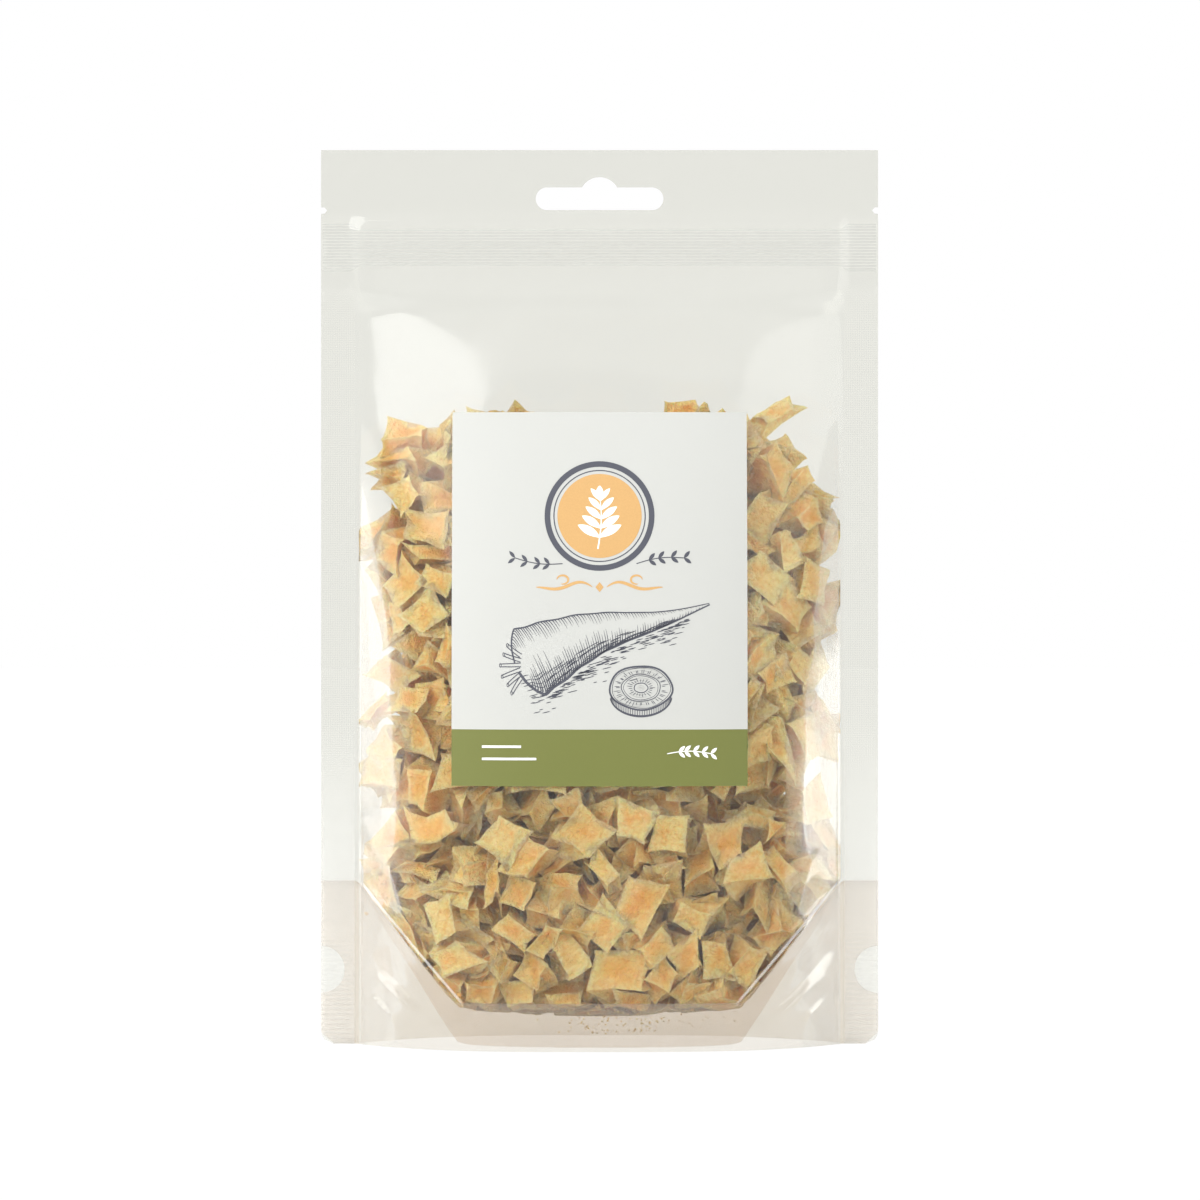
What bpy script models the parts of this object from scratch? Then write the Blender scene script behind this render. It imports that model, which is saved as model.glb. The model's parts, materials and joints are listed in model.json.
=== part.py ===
"""A clear stand-up pouch filled with dried parsnip pieces, in metres, +Z up.

The pouch is two webs of clear film and a folded bottom gusset, welded down both sides, across
the header and around the foot. A press-to-close zip runs inside, under a header with a hang slot
and two tear notches. A label sits on the front web. The origin is on the floor, under the middle.
The front looks along -Y.
"""

import math
import random

import bmesh
import bpy
import numpy as np
from mathutils import Matrix, Vector

# Driving dimensions
WIDTH = 0.130            # pouch, edge to edge
HEIGHT = 0.2085          # foot to the top of the header
SIDE_SEAL = 0.0084       # width of each side weld
GUSSET_FOLD = 0.038      # height of the gusset's fold where the side welds hold it
FLOOR_EDGE = 0.011       # height of the weld between web and gusset, in the middle of the foot
FLOOR_HALF = 0.033       # half the length of that weld before it climbs to the side welds
BULGE = 0.0205           # how far each web stands out at the foot
FULLNESS = 3.3           # exponent of a web's curve: 2 is a parabola, more is fuller
FILM = 0.0002            # thickness of the film
GAP = 0.0003             # clearance kept between touching pieces
CORNER = 0.0030          # radius of the foot's corners

ZIP_LOW, ZIP_HIGH = 0.1815, 0.1900        # the zip's flanges
HEADER_LOW = 0.1940                       # the header is flat above this
SLOT_CENTRE = 0.19715                     # height of the hang slot's centre line
SLOT_LENGTH, SLOT_HEIGHT = 0.0298, 0.0053
SLOT_CROWN, CROWN_RISE = 0.0082, 0.0024   # width and rise of the bump on the slot
NOTCH_DEPTH, NOTCH_HEIGHT, NOTCH_AT = 0.0014, 0.0018, 0.1944
PUNCH_HEIGHT, PUNCH_RADIUS = 0.0173, 0.0055
PUNCH_SIDES, CUTTER_DEPTH = 20, 0.02      # facets of a half-round punch, and how far cutters reach
FOOT_FADE = 0.010                         # height over which the webs close up above the gusset
ZIP_FADE_LOW, ZIP_FADE_HIGH = 0.170, 0.176   # the webs part between these heights, for the zip
ZIP_FADE_TOP = 0.1905                     # and close up between this height and the header
FLOOR_SAG = 0.016                         # how far the gusset's floor would hang below its welds
FLANGE_THICK, ZIP_END = 0.0003, 0.0003    # zip flange, and its distance from the side edge
RIB_OVERLAP = 0.0001                      # how far a rib reaches into its flange

LABEL_HALF, LABEL_LOW, LABEL_HIGH = 0.034, 0.0608, 0.1469
LABEL_THICK = 0.00015

FILL_LEFT, FILL_RIGHT = 0.1360, 0.1425    # height of the heap at the two sides
HEAP_WAVE, HEAP_WAVE_LENGTH = 0.0012, 0.011   # height of the heap's waves and their length over 2 pi
HEAP_CLEAR, HEAP_SIDE = 0.0020, 0.004     # room between the heap and the film, and at the side welds
HEAP_CUTS = 9                             # grid lines across each face of the heap
PIECE = 0.0078                            # edge of one dried piece
PIECE_JITTER, PIECE_SINK = 0.08, 0.78     # how far corners stray, and where sunken face middles lie
PIECE_LIFT = 0.58                         # height of a loose piece's middle above the heap, in edges
PIECE_OFFSET = 0.0012                     # loose pieces lie this far in front and behind by turns
LOOSE_PIECES, LOOSE_REACH = 7, 0.036      # pieces lying on the heap, and how far out they go

# Worked-out dimensions
HALF = WIDTH / 2
INNER = HALF - SIDE_SEAL                        # half-width inside the side welds
PLAIN_SEAL = (FILM + GAP) / 2                   # web's middle surface where two layers meet
GUSSET_SEAL = PLAIN_SEAL + FILM + GAP           # the same with the gusset's two leaves between
ZIP_SPREAD = 0.00145                            # the same where the zip lies between the webs
COLUMNS = np.concatenate([[-1.0], np.linspace(-1, 1, 21) * INNER / HALF, [1.0]])
WEB_ROWS = np.concatenate([
    [0, 0.2 * CORNER],
    np.linspace(CORNER, GUSSET_FOLD, 6),
    np.linspace(GUSSET_FOLD, ZIP_FADE_HIGH, 17)[1:],
    np.linspace(ZIP_FADE_HIGH, HEADER_LOW, 6)[1:],
    np.linspace(HEADER_LOW, HEIGHT, 3)[1:],
])

CLEAR, PRINT, WHITE, CREAM = "clear film", "label", "zip", "parsnip"
COLOURS = {
    # name: (red, green, blue, alpha), roughness
    CLEAR: ((0.80, 0.80, 0.76, 0.25), 0.18),
    WHITE: ((0.86, 0.87, 0.87, 0.75), 0.30),
    PRINT: ((0.88, 0.88, 0.83, 1.0), 0.60),
    CREAM: ((0.76, 0.52, 0.22, 1.0), 0.75),
}


def ramp(low, high, value):
    """Smooth step from 0 at low to 1 at high."""
    t = np.clip((value - low) / (high - low), 0, 1)
    return t * t * (3 - 2 * t)


def weld_offset(z):
    """Distance of a web's middle surface from y = 0 where nothing pushes it out."""
    above_foot = ramp(GUSSET_FOLD, GUSSET_FOLD + FOOT_FADE, z)
    foot = PLAIN_SEAL + (GUSSET_SEAL - PLAIN_SEAL) * (1 - above_foot)
    zipped = ramp(ZIP_FADE_LOW, ZIP_FADE_HIGH, z) * (1 - ramp(ZIP_FADE_TOP, HEADER_LOW, z))
    return foot + (ZIP_SPREAD - PLAIN_SEAL) * zipped


def within_corners(x, z):
    """The same x, or the foot's rounded corner where that lies further in."""
    drop = np.clip(CORNER - z, 0, CORNER)
    reach = HALF - CORNER + np.sqrt(CORNER ** 2 - drop ** 2)
    return np.clip(x, -reach, reach)


def web_depth(x, z):
    """Distance of a web's middle surface from y = 0: full at the foot, flat at the zip."""
    upward = np.clip(1 - (z / ZIP_LOW) ** FULLNESS, 0, 1)
    across = np.clip(1 - (np.abs(x) / INNER) ** FULLNESS, 0, 1)
    return weld_offset(z) + BULGE * upward * across


def floor_edge(x):
    """Height of the weld between web and gusset: level, then climbing to the fold."""
    climb = np.clip((np.abs(x) - FLOOR_HALF) / (INNER - FLOOR_HALF), 0, 1)
    return FLOOR_EDGE + (GUSSET_FOLD - FLOOR_EDGE) * climb


def floor_height(x, across):
    """Gusset height at `across` from -1 (front weld) to 1 (back weld). Its middle lies flat."""
    sag = FLOOR_SAG * np.clip(1 - (np.abs(x) / INNER) ** 2, 0, 1)
    return np.maximum(FILM / 2, floor_edge(x) - sag * (1 - across ** 2))


def material(name):
    """Principled material from the colour table, made once."""
    made = bpy.data.materials.get(name)
    if made:
        return made
    colour, roughness = COLOURS[name]
    made = bpy.data.materials.new(name)
    made.use_nodes = True
    shader = made.node_tree.nodes["Principled BSDF"]
    shader.inputs["Base Color"].default_value = (*colour[:3], 1.0)
    shader.inputs["Alpha"].default_value = colour[3]
    shader.inputs["Roughness"].default_value = roughness
    shader.inputs["Metallic"].default_value = 0.0
    made.diffuse_color = colour
    return made


def collection(name):
    made = bpy.data.collections.new(name)
    bpy.context.scene.collection.children.link(made)
    return made


def place(obj, name, finish, into):
    """Name an object, give it its material and move it into a collection."""
    obj.name = name
    obj.data.name = name
    for home in list(obj.users_collection):
        home.objects.unlink(obj)
    into.objects.link(obj)
    obj.data.materials.clear()
    if finish:
        obj.data.materials.append(material(finish))
    return obj


def sheet(name, columns, rows, shape, thickness, finish):
    """Grid primitive whose vertices are moved by shape(column value, row value), then thickened."""
    bpy.ops.mesh.primitive_grid_add(
        x_subdivisions=len(columns) - 1, y_subdivisions=len(rows) - 1, size=2)
    obj = bpy.context.object
    points = np.empty(len(obj.data.vertices) * 3)
    obj.data.vertices.foreach_get("co", points)
    flat = points.reshape(-1, 3)
    u = np.interp(flat[:, 0], np.linspace(-1, 1, len(columns)), columns)
    v = np.interp(flat[:, 1], np.linspace(-1, 1, len(rows)), rows)
    obj.data.vertices.foreach_set("co", np.stack(shape(u, v), axis=1).ravel())
    obj.data.update()
    skin = obj.modifiers.new("thickness", "SOLIDIFY")
    skin.thickness = thickness
    skin.offset = 0
    return place(obj, name, finish, PARTS)


def web(name, side):
    """One web of film. side is -1 for the front and 1 for the back."""
    def shape(u, z):
        x = within_corners(u * HALF, z)
        return x, side * web_depth(x, z), z
    obj = sheet(name, COLUMNS, WEB_ROWS, shape, FILM, CLEAR)
    for cutter in (SLOT, NOTCHES):
        cut(obj, cutter)
    return obj


def gusset():
    """The folded bottom: up the front web, across as a floor that rests on the ground, and down."""
    leaf, across = 4, 8
    rows = np.linspace(-1, 1, 2 * leaf + across + 1)
    leaf_start = across / (2 * leaf + across)

    def shape(u, v):
        x = u * HALF
        across_floor = np.clip(v / leaf_start, -1, 1)
        up_leaf = floor_edge(x) * np.clip((1 - np.abs(v)) / (1 - leaf_start), 0, 1)
        z = np.where(np.abs(v) < leaf_start, floor_height(x, across_floor), up_leaf)
        x = within_corners(x, up_leaf)
        y = (web_depth(x, up_leaf) - FILM - GAP) * across_floor
        return x, y, z
    obj = sheet("bottom_gusset", COLUMNS, rows, shape, FILM, CLEAR)
    cut(obj, PUNCHES)
    return obj


def label():
    """Paper label following the front web."""
    def shape(x, z):
        return x, -(web_depth(x, z) + FILM / 2 + GAP + LABEL_THICK / 2), z
    return sheet("label", np.linspace(-LABEL_HALF, LABEL_HALF, 12),
                 np.linspace(LABEL_LOW, LABEL_HIGH, 13), shape, LABEL_THICK, PRINT)


def box(name, low, high, finish, into):
    """Box primitive between two corners, with its size applied to the mesh."""
    low, high = Vector(low), Vector(high)
    bpy.ops.mesh.primitive_cube_add(size=1)
    obj = bpy.context.object
    size = high - low
    obj.data.transform(Matrix.Translation((low + high) / 2) @ Matrix.Diagonal((*size, 1)))
    return place(obj, name, finish, into)


def make_guide(obj):
    """Hide a cutter or a joined shape from the built part."""
    obj.hide_render = True
    obj.display_type = "WIRE"
    return obj


def cut(obj, cutter, operation="DIFFERENCE"):
    step = obj.modifiers.new(cutter.name, "BOOLEAN")
    step.operation = operation
    step.solver = "EXACT"
    step.object = cutter


def outline_solid(name, points, depth, into):
    """Flat outline in x and z, extruded along y by half the depth each way, as a closed mesh."""
    curve = bpy.data.curves.new(name, "CURVE")
    curve.dimensions = "2D"
    curve.fill_mode = "BOTH"
    curve.extrude = depth / 2
    spline = curve.splines.new("POLY")
    spline.points.add(len(points) - 1)
    for point, (x, z) in zip(spline.points, points):
        point.co = (x, z, 0, 1)
    spline.use_cyclic_u = True
    source = bpy.data.objects.new(name, curve)
    bpy.context.scene.collection.objects.link(source)
    evaluated = source.evaluated_get(bpy.context.evaluated_depsgraph_get())
    mesh = bpy.data.meshes.new_from_object(evaluated)
    bpy.data.objects.remove(source)
    work = bmesh.new()
    work.from_mesh(mesh)
    bmesh.ops.remove_doubles(work, verts=work.verts, dist=1e-6)
    bmesh.ops.rotate(work, verts=work.verts, matrix=Matrix.Rotation(math.pi / 2, 3, "X"))
    bmesh.ops.recalc_face_normals(work, faces=work.faces)
    work.to_mesh(mesh)
    work.free()
    obj = bpy.data.objects.new(name, mesh)
    bpy.context.scene.collection.objects.link(obj)
    return place(obj, name, None, into)


def arc(x, z, radius, start, end, steps):
    """Points on an arc, angles in radians."""
    angles = np.linspace(start, end, steps)
    return [(x + radius * math.cos(a), z + radius * math.sin(a)) for a in angles]


def hang_slot():
    """Long round-ended slot with a low crown in the middle of its upper edge."""
    end = SLOT_HEIGHT / 2
    reach = SLOT_LENGTH / 2 - end
    half_chord = SLOT_CROWN / 2
    crown = (half_chord ** 2 + CROWN_RISE ** 2) / (2 * CROWN_RISE)
    crown_centre = SLOT_CENTRE + end + CROWN_RISE - crown
    spread = math.asin(half_chord / crown)
    points = arc(reach, SLOT_CENTRE, end, -math.pi / 2, math.pi / 2, 7)
    points += arc(0, crown_centre, crown, math.pi / 2 - spread, math.pi / 2 + spread, 8)
    points += arc(-reach, SLOT_CENTRE, end, math.pi / 2, 3 * math.pi / 2, 7)
    return make_guide(outline_solid("hang_slot_cutter", points, CUTTER_DEPTH, CUTTERS))


def tear_notches():
    """A pointed nick in each side edge, level with the slot, as one cutter of two bodies."""
    work = bmesh.new()
    for side in (-1, 1):
        cone = bmesh.ops.create_cone(
            work, cap_ends=True, segments=4, radius1=NOTCH_HEIGHT / 2, radius2=NOTCH_HEIGHT / 2,
            depth=CUTTER_DEPTH, matrix=Matrix.Rotation(math.pi / 2, 4, "X"))
        stretch = Matrix.Diagonal((2 * (NOTCH_DEPTH + GAP) / NOTCH_HEIGHT, 1, 1))
        bmesh.ops.transform(work, matrix=stretch.to_4x4(), verts=cone["verts"])
        bmesh.ops.translate(work, vec=(side * (HALF + GAP), 0, NOTCH_AT), verts=cone["verts"])
    return make_guide(mesh_object("tear_notch_cutter", work, None, CUTTERS))


def gusset_punches():
    """Half-round holes at the gusset's side edges, through which the two webs weld together."""
    work = bmesh.new()
    for side in (-1, 1):
        at = Matrix.Translation((side * HALF, 0, PUNCH_HEIGHT))
        bmesh.ops.create_cone(work, cap_ends=True, segments=PUNCH_SIDES, radius1=PUNCH_RADIUS,
                              radius2=PUNCH_RADIUS, depth=CUTTER_DEPTH,
                              matrix=at @ Matrix.Rotation(math.pi / 2, 4, "X"))
    return make_guide(mesh_object("gusset_punch_cutter", work, None, CUTTERS))


def mesh_object(name, work, finish, into):
    """Object from a bmesh, which is freed."""
    mesh = bpy.data.meshes.new(name)
    work.to_mesh(mesh)
    work.free()
    obj = bpy.data.objects.new(name, mesh)
    bpy.context.scene.collection.objects.link(obj)
    return place(obj, name, finish, into)


def zip_track(name, side, ribs):
    """A flange inside one web, with the ribs that snap into the other track."""
    flange_out = ZIP_SPREAD - FILM / 2 - GAP
    flange_in = flange_out - FLANGE_THICK
    end = HALF - ZIP_END
    low, high = sorted((side * flange_in, side * flange_out))
    track = box(name, (-end, low, ZIP_LOW), (end, high, ZIP_HIGH), WHITE, PARTS)
    middle = (ZIP_LOW + ZIP_HIGH) / 2
    for number, (offset, thick, tip) in enumerate(ribs):
        low, high = sorted((side * (flange_in + RIB_OVERLAP), side * tip))
        rib = box(f"{name}_rib_{number}", (-INNER, low, middle + offset - thick / 2),
                  (INNER, high, middle + offset + thick / 2), None, CUTTERS)
        cut(track, make_guide(rib), "UNION")
    return track


def heap_top(x):
    """Height of the heap: lower at the left, with a shallow wave along it."""
    t = (x + INNER) / (2 * INNER)
    return FILL_LEFT + (FILL_RIGHT - FILL_LEFT) * t + HEAP_WAVE * np.sin(x / HEAP_WAVE_LENGTH)


def heap():
    """The settled pieces as one body: a block whose grid is mapped to the room in the pouch."""
    work = bmesh.new()
    bmesh.ops.create_cube(work, size=2)
    bmesh.ops.subdivide_edges(work, edges=work.edges, cuts=HEAP_CUTS, use_grid_fill=True)
    at = np.array([v.co[:] for v in work.verts])
    x = at[:, 0] * (INNER - HEAP_SIDE)
    bottom = floor_height(x, at[:, 1]) + HEAP_CLEAR
    z = bottom + (at[:, 2] + 1) / 2 * (heap_top(x) - bottom)
    y = at[:, 1] * (web_depth(x, z) - HEAP_CLEAR)
    for vertex, point in zip(work.verts, np.stack((x, y, z), axis=1)):
        vertex.co = Vector(point.tolist())
    return mesh_object("parsnip_heap", work, CREAM, PARTS)


def loose_piece(number, rng):
    """A dried cube lying on the heap, its faces sunken by the drying."""
    work = bmesh.new()
    bmesh.ops.create_cube(work, size=PIECE)
    for corner in work.verts:
        corner.co += Vector([rng.uniform(-PIECE_JITTER, PIECE_JITTER) * PIECE for _ in range(3)])
    bmesh.ops.poke(work, faces=work.faces[:])
    for vertex in work.verts:
        if len(vertex.link_edges) == 4 and len(vertex.link_faces) == 4:
            vertex.co *= PIECE_SINK
    x = LOOSE_REACH * (2 * number / (LOOSE_PIECES - 1) - 1)
    y = PIECE_OFFSET * (-1) ** number
    turn = Matrix.Rotation(rng.uniform(0, math.pi / 2), 4, "Z")
    bmesh.ops.transform(work, matrix=turn, verts=work.verts)
    obj = mesh_object(f"loose_piece_{number + 1}", work, CREAM, PARTS)
    under = float(np.max(heap_top(np.linspace(x - PIECE, x + PIECE, 9))))
    obj.location = (x, y, under + PIECE * PIECE_LIFT + GAP)
    return obj


for old in list(bpy.data.objects):
    bpy.data.objects.remove(old)

PARTS = collection("parsnip_pouch")
CUTTERS = collection("cutters")
SLOT = hang_slot()
NOTCHES = tear_notches()
PUNCHES = gusset_punches()

web("front_film", -1)
web("back_film", 1)
gusset()
label()
zip_track("zip_front_track", -1, [(0.0, 0.0008, -0.0002)])
zip_track("zip_back_track", 1, [(-0.0011, 0.0005, -0.0001), (0.0011, 0.0005, -0.0001)])
heap()
dice = random.Random(7)
for index in range(LOOSE_PIECES):
    loose_piece(index, dice)
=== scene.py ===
# %% [markdown]
# # A clear pouch of dried parsnip pieces
#
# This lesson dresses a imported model. The frame below holds the pouch at its true size: two webs
# of film, a folded bottom, a zip, a label and a plain block for the filling. Each of them is
# replaced by a detailed piece that sits in the same place, and every size comes from the frame.

# %% Load the frame
import json
import math

import bpy
import numpy as np
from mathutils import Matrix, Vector


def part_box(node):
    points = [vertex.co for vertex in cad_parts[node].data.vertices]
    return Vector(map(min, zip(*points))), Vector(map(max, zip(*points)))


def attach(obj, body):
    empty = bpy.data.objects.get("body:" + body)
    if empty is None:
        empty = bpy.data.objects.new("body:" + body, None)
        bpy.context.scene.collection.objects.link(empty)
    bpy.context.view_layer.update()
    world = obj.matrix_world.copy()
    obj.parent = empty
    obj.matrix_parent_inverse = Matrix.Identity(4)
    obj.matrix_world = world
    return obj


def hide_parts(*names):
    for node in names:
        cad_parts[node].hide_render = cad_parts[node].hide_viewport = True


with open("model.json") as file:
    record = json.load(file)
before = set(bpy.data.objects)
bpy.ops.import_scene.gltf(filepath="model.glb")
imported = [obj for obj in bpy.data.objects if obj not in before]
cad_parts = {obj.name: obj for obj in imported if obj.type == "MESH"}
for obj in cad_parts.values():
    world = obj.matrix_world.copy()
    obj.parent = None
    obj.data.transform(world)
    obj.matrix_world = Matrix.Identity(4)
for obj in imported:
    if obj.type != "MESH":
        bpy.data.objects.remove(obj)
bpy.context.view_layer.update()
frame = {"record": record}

MM = 0.001

# %% [markdown]
# The camera comes first, so that every later step can be looked at. A product like this is shot
# straight on with a long lens, which keeps the side edges parallel. The lens length follows from
# the distance and from how much of the plane y = 0 the square picture takes in.

# %% Camera
VIEW_WIDTH = 0.2801
CAMERA_DISTANCE = 1.10
CAMERA_HEIGHT = 0.1035


def make_camera():
    """Camera looking along +Y, level, with its lens set to take in VIEW_WIDTH at y = 0."""
    data = bpy.data.cameras.new("camera")
    data.sensor_width = 36.0
    data.lens = data.sensor_width * CAMERA_DISTANCE / VIEW_WIDTH
    camera = bpy.data.objects.new("camera", data)
    camera.location = (0.0001, -CAMERA_DISTANCE, CAMERA_HEIGHT)
    camera.rotation_euler = (math.pi / 2, 0, 0)
    bpy.context.scene.collection.objects.link(camera)
    bpy.context.scene.camera = camera
    print("lens in mm:", round(data.lens, 1))


make_camera()

# %% [markdown]
# The driving sizes are read from the frame's boxes. The pouch is described by a few formulas:
# how far a web stands out from the middle plane, how high the floor is welded to the webs, and
# how the floor hangs between those welds. Everything else is laid on these surfaces.

# %% Sizes from the frame
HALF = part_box("front_film")[1][0]
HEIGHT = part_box("front_film")[1][2]
GUSSET_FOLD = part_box("bottom_gusset")[1][2] - 0.0001
ZIP_LOW, ZIP_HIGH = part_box("zip_front_track")[0][2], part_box("zip_front_track")[1][2]
LABEL_LOW, LABEL_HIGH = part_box("label")[0][2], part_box("label")[1][2]
LABEL_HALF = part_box("label")[1][0]

SIDE_SEAL = 8.4 * MM
INNER = HALF - SIDE_SEAL
FILM = 0.12 * MM
CAD_FILM = 0.20 * MM
GAP = 0.30 * MM
CORNER = 3.0 * MM
FULLNESS = 3.3
HEADER_LOW = 194.0 * MM
FLOOR_EDGE, FLOOR_HALF = 11.0 * MM, 33.0 * MM
PLAIN_SEAL = (CAD_FILM + GAP) / 2
GUSSET_SEAL = PLAIN_SEAL + CAD_FILM + GAP
ZIP_SPREAD = 1.45 * MM
FOOT_FADE = 10 * MM
ZIP_FADE_LOW, ZIP_FADE_HIGH, ZIP_FADE_TOP = 170 * MM, 176 * MM, 190.5 * MM
FLOOR_SAG = 16 * MM
NOTCH_LEVEL = 194.4 * MM
PUNCH_LEVEL, PUNCH_RADIUS = 17.3 * MM, 5.5 * MM
BULGE = -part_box("front_film")[0][1] - CAD_FILM / 2 - GUSSET_SEAL
print("bulge in mm:", round(BULGE / MM, 2), "label:", round(2 * LABEL_HALF / MM, 1), "wide")


# %% Formulas of the pouch
def ramp(low, high, value):
    """Smooth step: 0 below low, 1 above high, 3t^2 - 2t^3 between."""
    t = np.clip((value - low) / (high - low), 0, 1)
    return t * t * (3 - 2 * t)


def web_depth(x, z):
    """Web's distance from y = 0: the weld's offset plus BULGE times two curves, one along the
    height and one across, each one minus the relative distance to the power FULLNESS."""
    above_foot = ramp(GUSSET_FOLD, GUSSET_FOLD + FOOT_FADE, z)
    foot = PLAIN_SEAL + (GUSSET_SEAL - PLAIN_SEAL) * (1 - above_foot)
    zipped = ramp(ZIP_FADE_LOW, ZIP_FADE_HIGH, z) * (1 - ramp(ZIP_FADE_TOP, HEADER_LOW, z))
    crushed = ramp(INNER - 1 * MM, INNER + 2 * MM, np.abs(x))
    weld = foot + (ZIP_SPREAD * (1 - 0.55 * crushed) - PLAIN_SEAL) * zipped
    upward = np.clip(1 - (np.clip(z, 0, None) / ZIP_LOW) ** FULLNESS, 0, 1)
    across = np.clip(1 - (np.abs(x) / INNER) ** FULLNESS, 0, 1)
    return weld + BULGE * upward * across


def floor_edge(x):
    """Height of the weld between web and floor: level, then climbing in a straight slant."""
    climb = np.clip((np.abs(x) - FLOOR_HALF) / (INNER - FLOOR_HALF), 0, 1)
    return FLOOR_EDGE + (GUSSET_FOLD - FLOOR_EDGE) * climb


def floor_height(x, across):
    """Floor's height at `across` from -1 to 1: a sagging parabola that lies flat on the ground."""
    sag = FLOOR_SAG * np.clip(1 - (np.abs(x) / INNER) ** 2, 0, 1)
    return np.maximum(CAD_FILM / 2, floor_edge(x) - sag * (1 - across ** 2))


def within_corners(x, z):
    """The same x, or the foot's rounded corner where that lies further in."""
    drop = np.clip(CORNER - z, 0, CORNER)
    reach = HALF - CORNER + np.sqrt(CORNER ** 2 - drop ** 2)
    return np.clip(x, -reach, reach)


def waves(x, z, seed, shortest, longest, count=14):
    """Sum of plane waves with random headings and phases and wavelengths between two limits,
    scaled to about -1 to 1. It stands in for noise and is smooth everywhere."""
    rng = np.random.default_rng(seed)
    heading = rng.uniform(0, np.pi, count)
    number = 2 * np.pi / rng.uniform(shortest, longest, count)
    phase = rng.uniform(0, 2 * np.pi, count)
    total = np.zeros(np.broadcast(x, z).shape)
    for h, k, p in zip(heading, number, phase):
        total = total + np.sin(k * (x * np.cos(h) + z * np.sin(h)) + p)
    return total / (1.3 * np.sqrt(count))


# %% [markdown]
# Every piece below ends as a mesh made from arrays: one row of points for each value of the
# first parameter, and quads between neighbouring rows. A sheet becomes a closed shell with
# Solidify, because real film has two faces and a thickness.

# %% Mesh helpers
def grid_quads(rows, columns, wrap_rows=False, wrap_columns=False):
    """Quads of a grid of rows x columns points, counted row by row, joined round if wrapped."""
    r = np.arange(rows if wrap_rows else rows - 1)[:, None]
    c = np.arange(columns if wrap_columns else columns - 1)[None, :]
    r2, c2 = (r + 1) % rows, (c + 1) % columns
    corners = [r * columns + c, r * columns + c2, r2 * columns + c2, r2 * columns + c]
    return np.stack(corners, -1).reshape(-1, 4)


def mesh_piece(name, points, faces, smooth=True):
    """Object at the origin with the given points and faces."""
    mesh = bpy.data.meshes.new(name)
    flat = np.asarray(points).reshape(-1, 3)
    mesh.from_pydata(flat.tolist(), [], [list(map(int, face)) for face in faces])
    mesh.validate()
    if smooth:
        mesh.shade_smooth()
    piece = bpy.data.objects.new(name, mesh)
    bpy.context.scene.collection.objects.link(piece)
    return piece


def thicken(piece, thickness):
    """Closed shell of the given thickness, centred on the sheet."""
    skin = piece.modifiers.new("thickness", "SOLIDIFY")
    skin.thickness = thickness
    skin.offset = 0
    return piece


def bake_modifiers(piece):
    """Replace the mesh by what its modifiers make of it, and drop them."""
    evaluated = piece.evaluated_get(bpy.context.evaluated_depsgraph_get())
    mesh = bpy.data.meshes.new_from_object(evaluated)
    piece.modifiers.clear()
    piece.data = mesh
    return piece


def finish_piece(piece, material, slot, *nodes):
    """Material, body and the CAD nodes that the piece stands for. slot is not used."""
    piece.data.materials.clear()
    piece.data.materials.append(material)
    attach(piece, "root")
    if nodes:
        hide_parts(*nodes)
    faces = len(piece.data.polygons)
    print(f"{piece.name}: {faces} faces")


# %% [markdown]
# ## Materials
#
# Node trees are easier to read when each one is made by a short function. `Nodes` is a small
# helper: it adds a node, sets its values and joins its inputs in one line.

# %% Node helper
class Nodes:
    """Adds nodes to one material and links them."""

    def __init__(self, name):
        self.material = bpy.data.materials.new(name)
        self.material.use_nodes = True
        self.tree = self.material.node_tree
        self.tree.nodes.clear()
        self.output = self.tree.nodes.new("ShaderNodeOutputMaterial")

    def add(self, kind, settings=None, **inputs):
        """One node. settings are its own fields, inputs are values or links for its sockets."""
        node = self.tree.nodes.new("ShaderNode" + kind)
        for field, value in (settings or {}).items():
            setattr(node, field, value)
        for key, value in inputs.items():
            which = int(key[1:]) if key[0] == "_" else key.replace("_", " ")
            socket = node.inputs[which]
            if isinstance(value, bpy.types.NodeSocket):
                self.tree.links.new(value, socket)
            else:
                socket.default_value = value
        return node

    def math(self, operation, a, b=0.0, c=0.0, clamp=False):
        """Result of one Math node."""
        settings = {"operation": operation, "use_clamp": clamp}
        return self.add("Math", settings, _0=a, _1=b, _2=c).outputs[0]

    def blend(self, factor, a, b, kind="MIX"):
        """Colour between a and b."""
        node = self.add("Mix", {"data_type": "RGBA", "blend_type": kind})
        for socket, value in ((node.inputs[0], factor), (node.inputs[6], a), (node.inputs[7], b)):
            if isinstance(value, bpy.types.NodeSocket):
                self.tree.links.new(value, socket)
            else:
                socket.default_value = value if socket.type == "VALUE" else (*value, 1.0)[:4]
        return node.outputs[2]

    def between(self, value, low, high, clamp_low=0.0, clamp_high=1.0):
        """Value mapped so that low gives clamp_low and high gives clamp_high, smoothly."""
        node = self.add("MapRange", {"interpolation_type": "SMOOTHSTEP"}, Value=value, From_Min=low,
                        From_Max=high, To_Min=clamp_low, To_Max=clamp_high)
        return node.outputs["Result"]

    def finish(self, shader):
        self.tree.links.new(shader.outputs[0], self.output.inputs["Surface"])
        return self.material


def srgb(red, green, blue):
    """Linear colour from the 0 to 255 values that a screen shows."""
    return tuple((c / 255 / 12.92) if c / 255 <= 0.04045 else ((c / 255 + 0.055) / 1.055) ** 2.4
                 for c in (red, green, blue))


# %% [markdown]
# Clear pouch film lets most light straight through, loses a little to its faintly warm tint,
# and mirrors more the flatter it is seen. A Transparent shader does the first two, a Principled
# shader the gloss and the slight milkiness, and Layer Weight mixes them. The side welds carry a
# fine pressed pattern, which is bump on Object coordinates: diamonds above, level ribs below.

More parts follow.
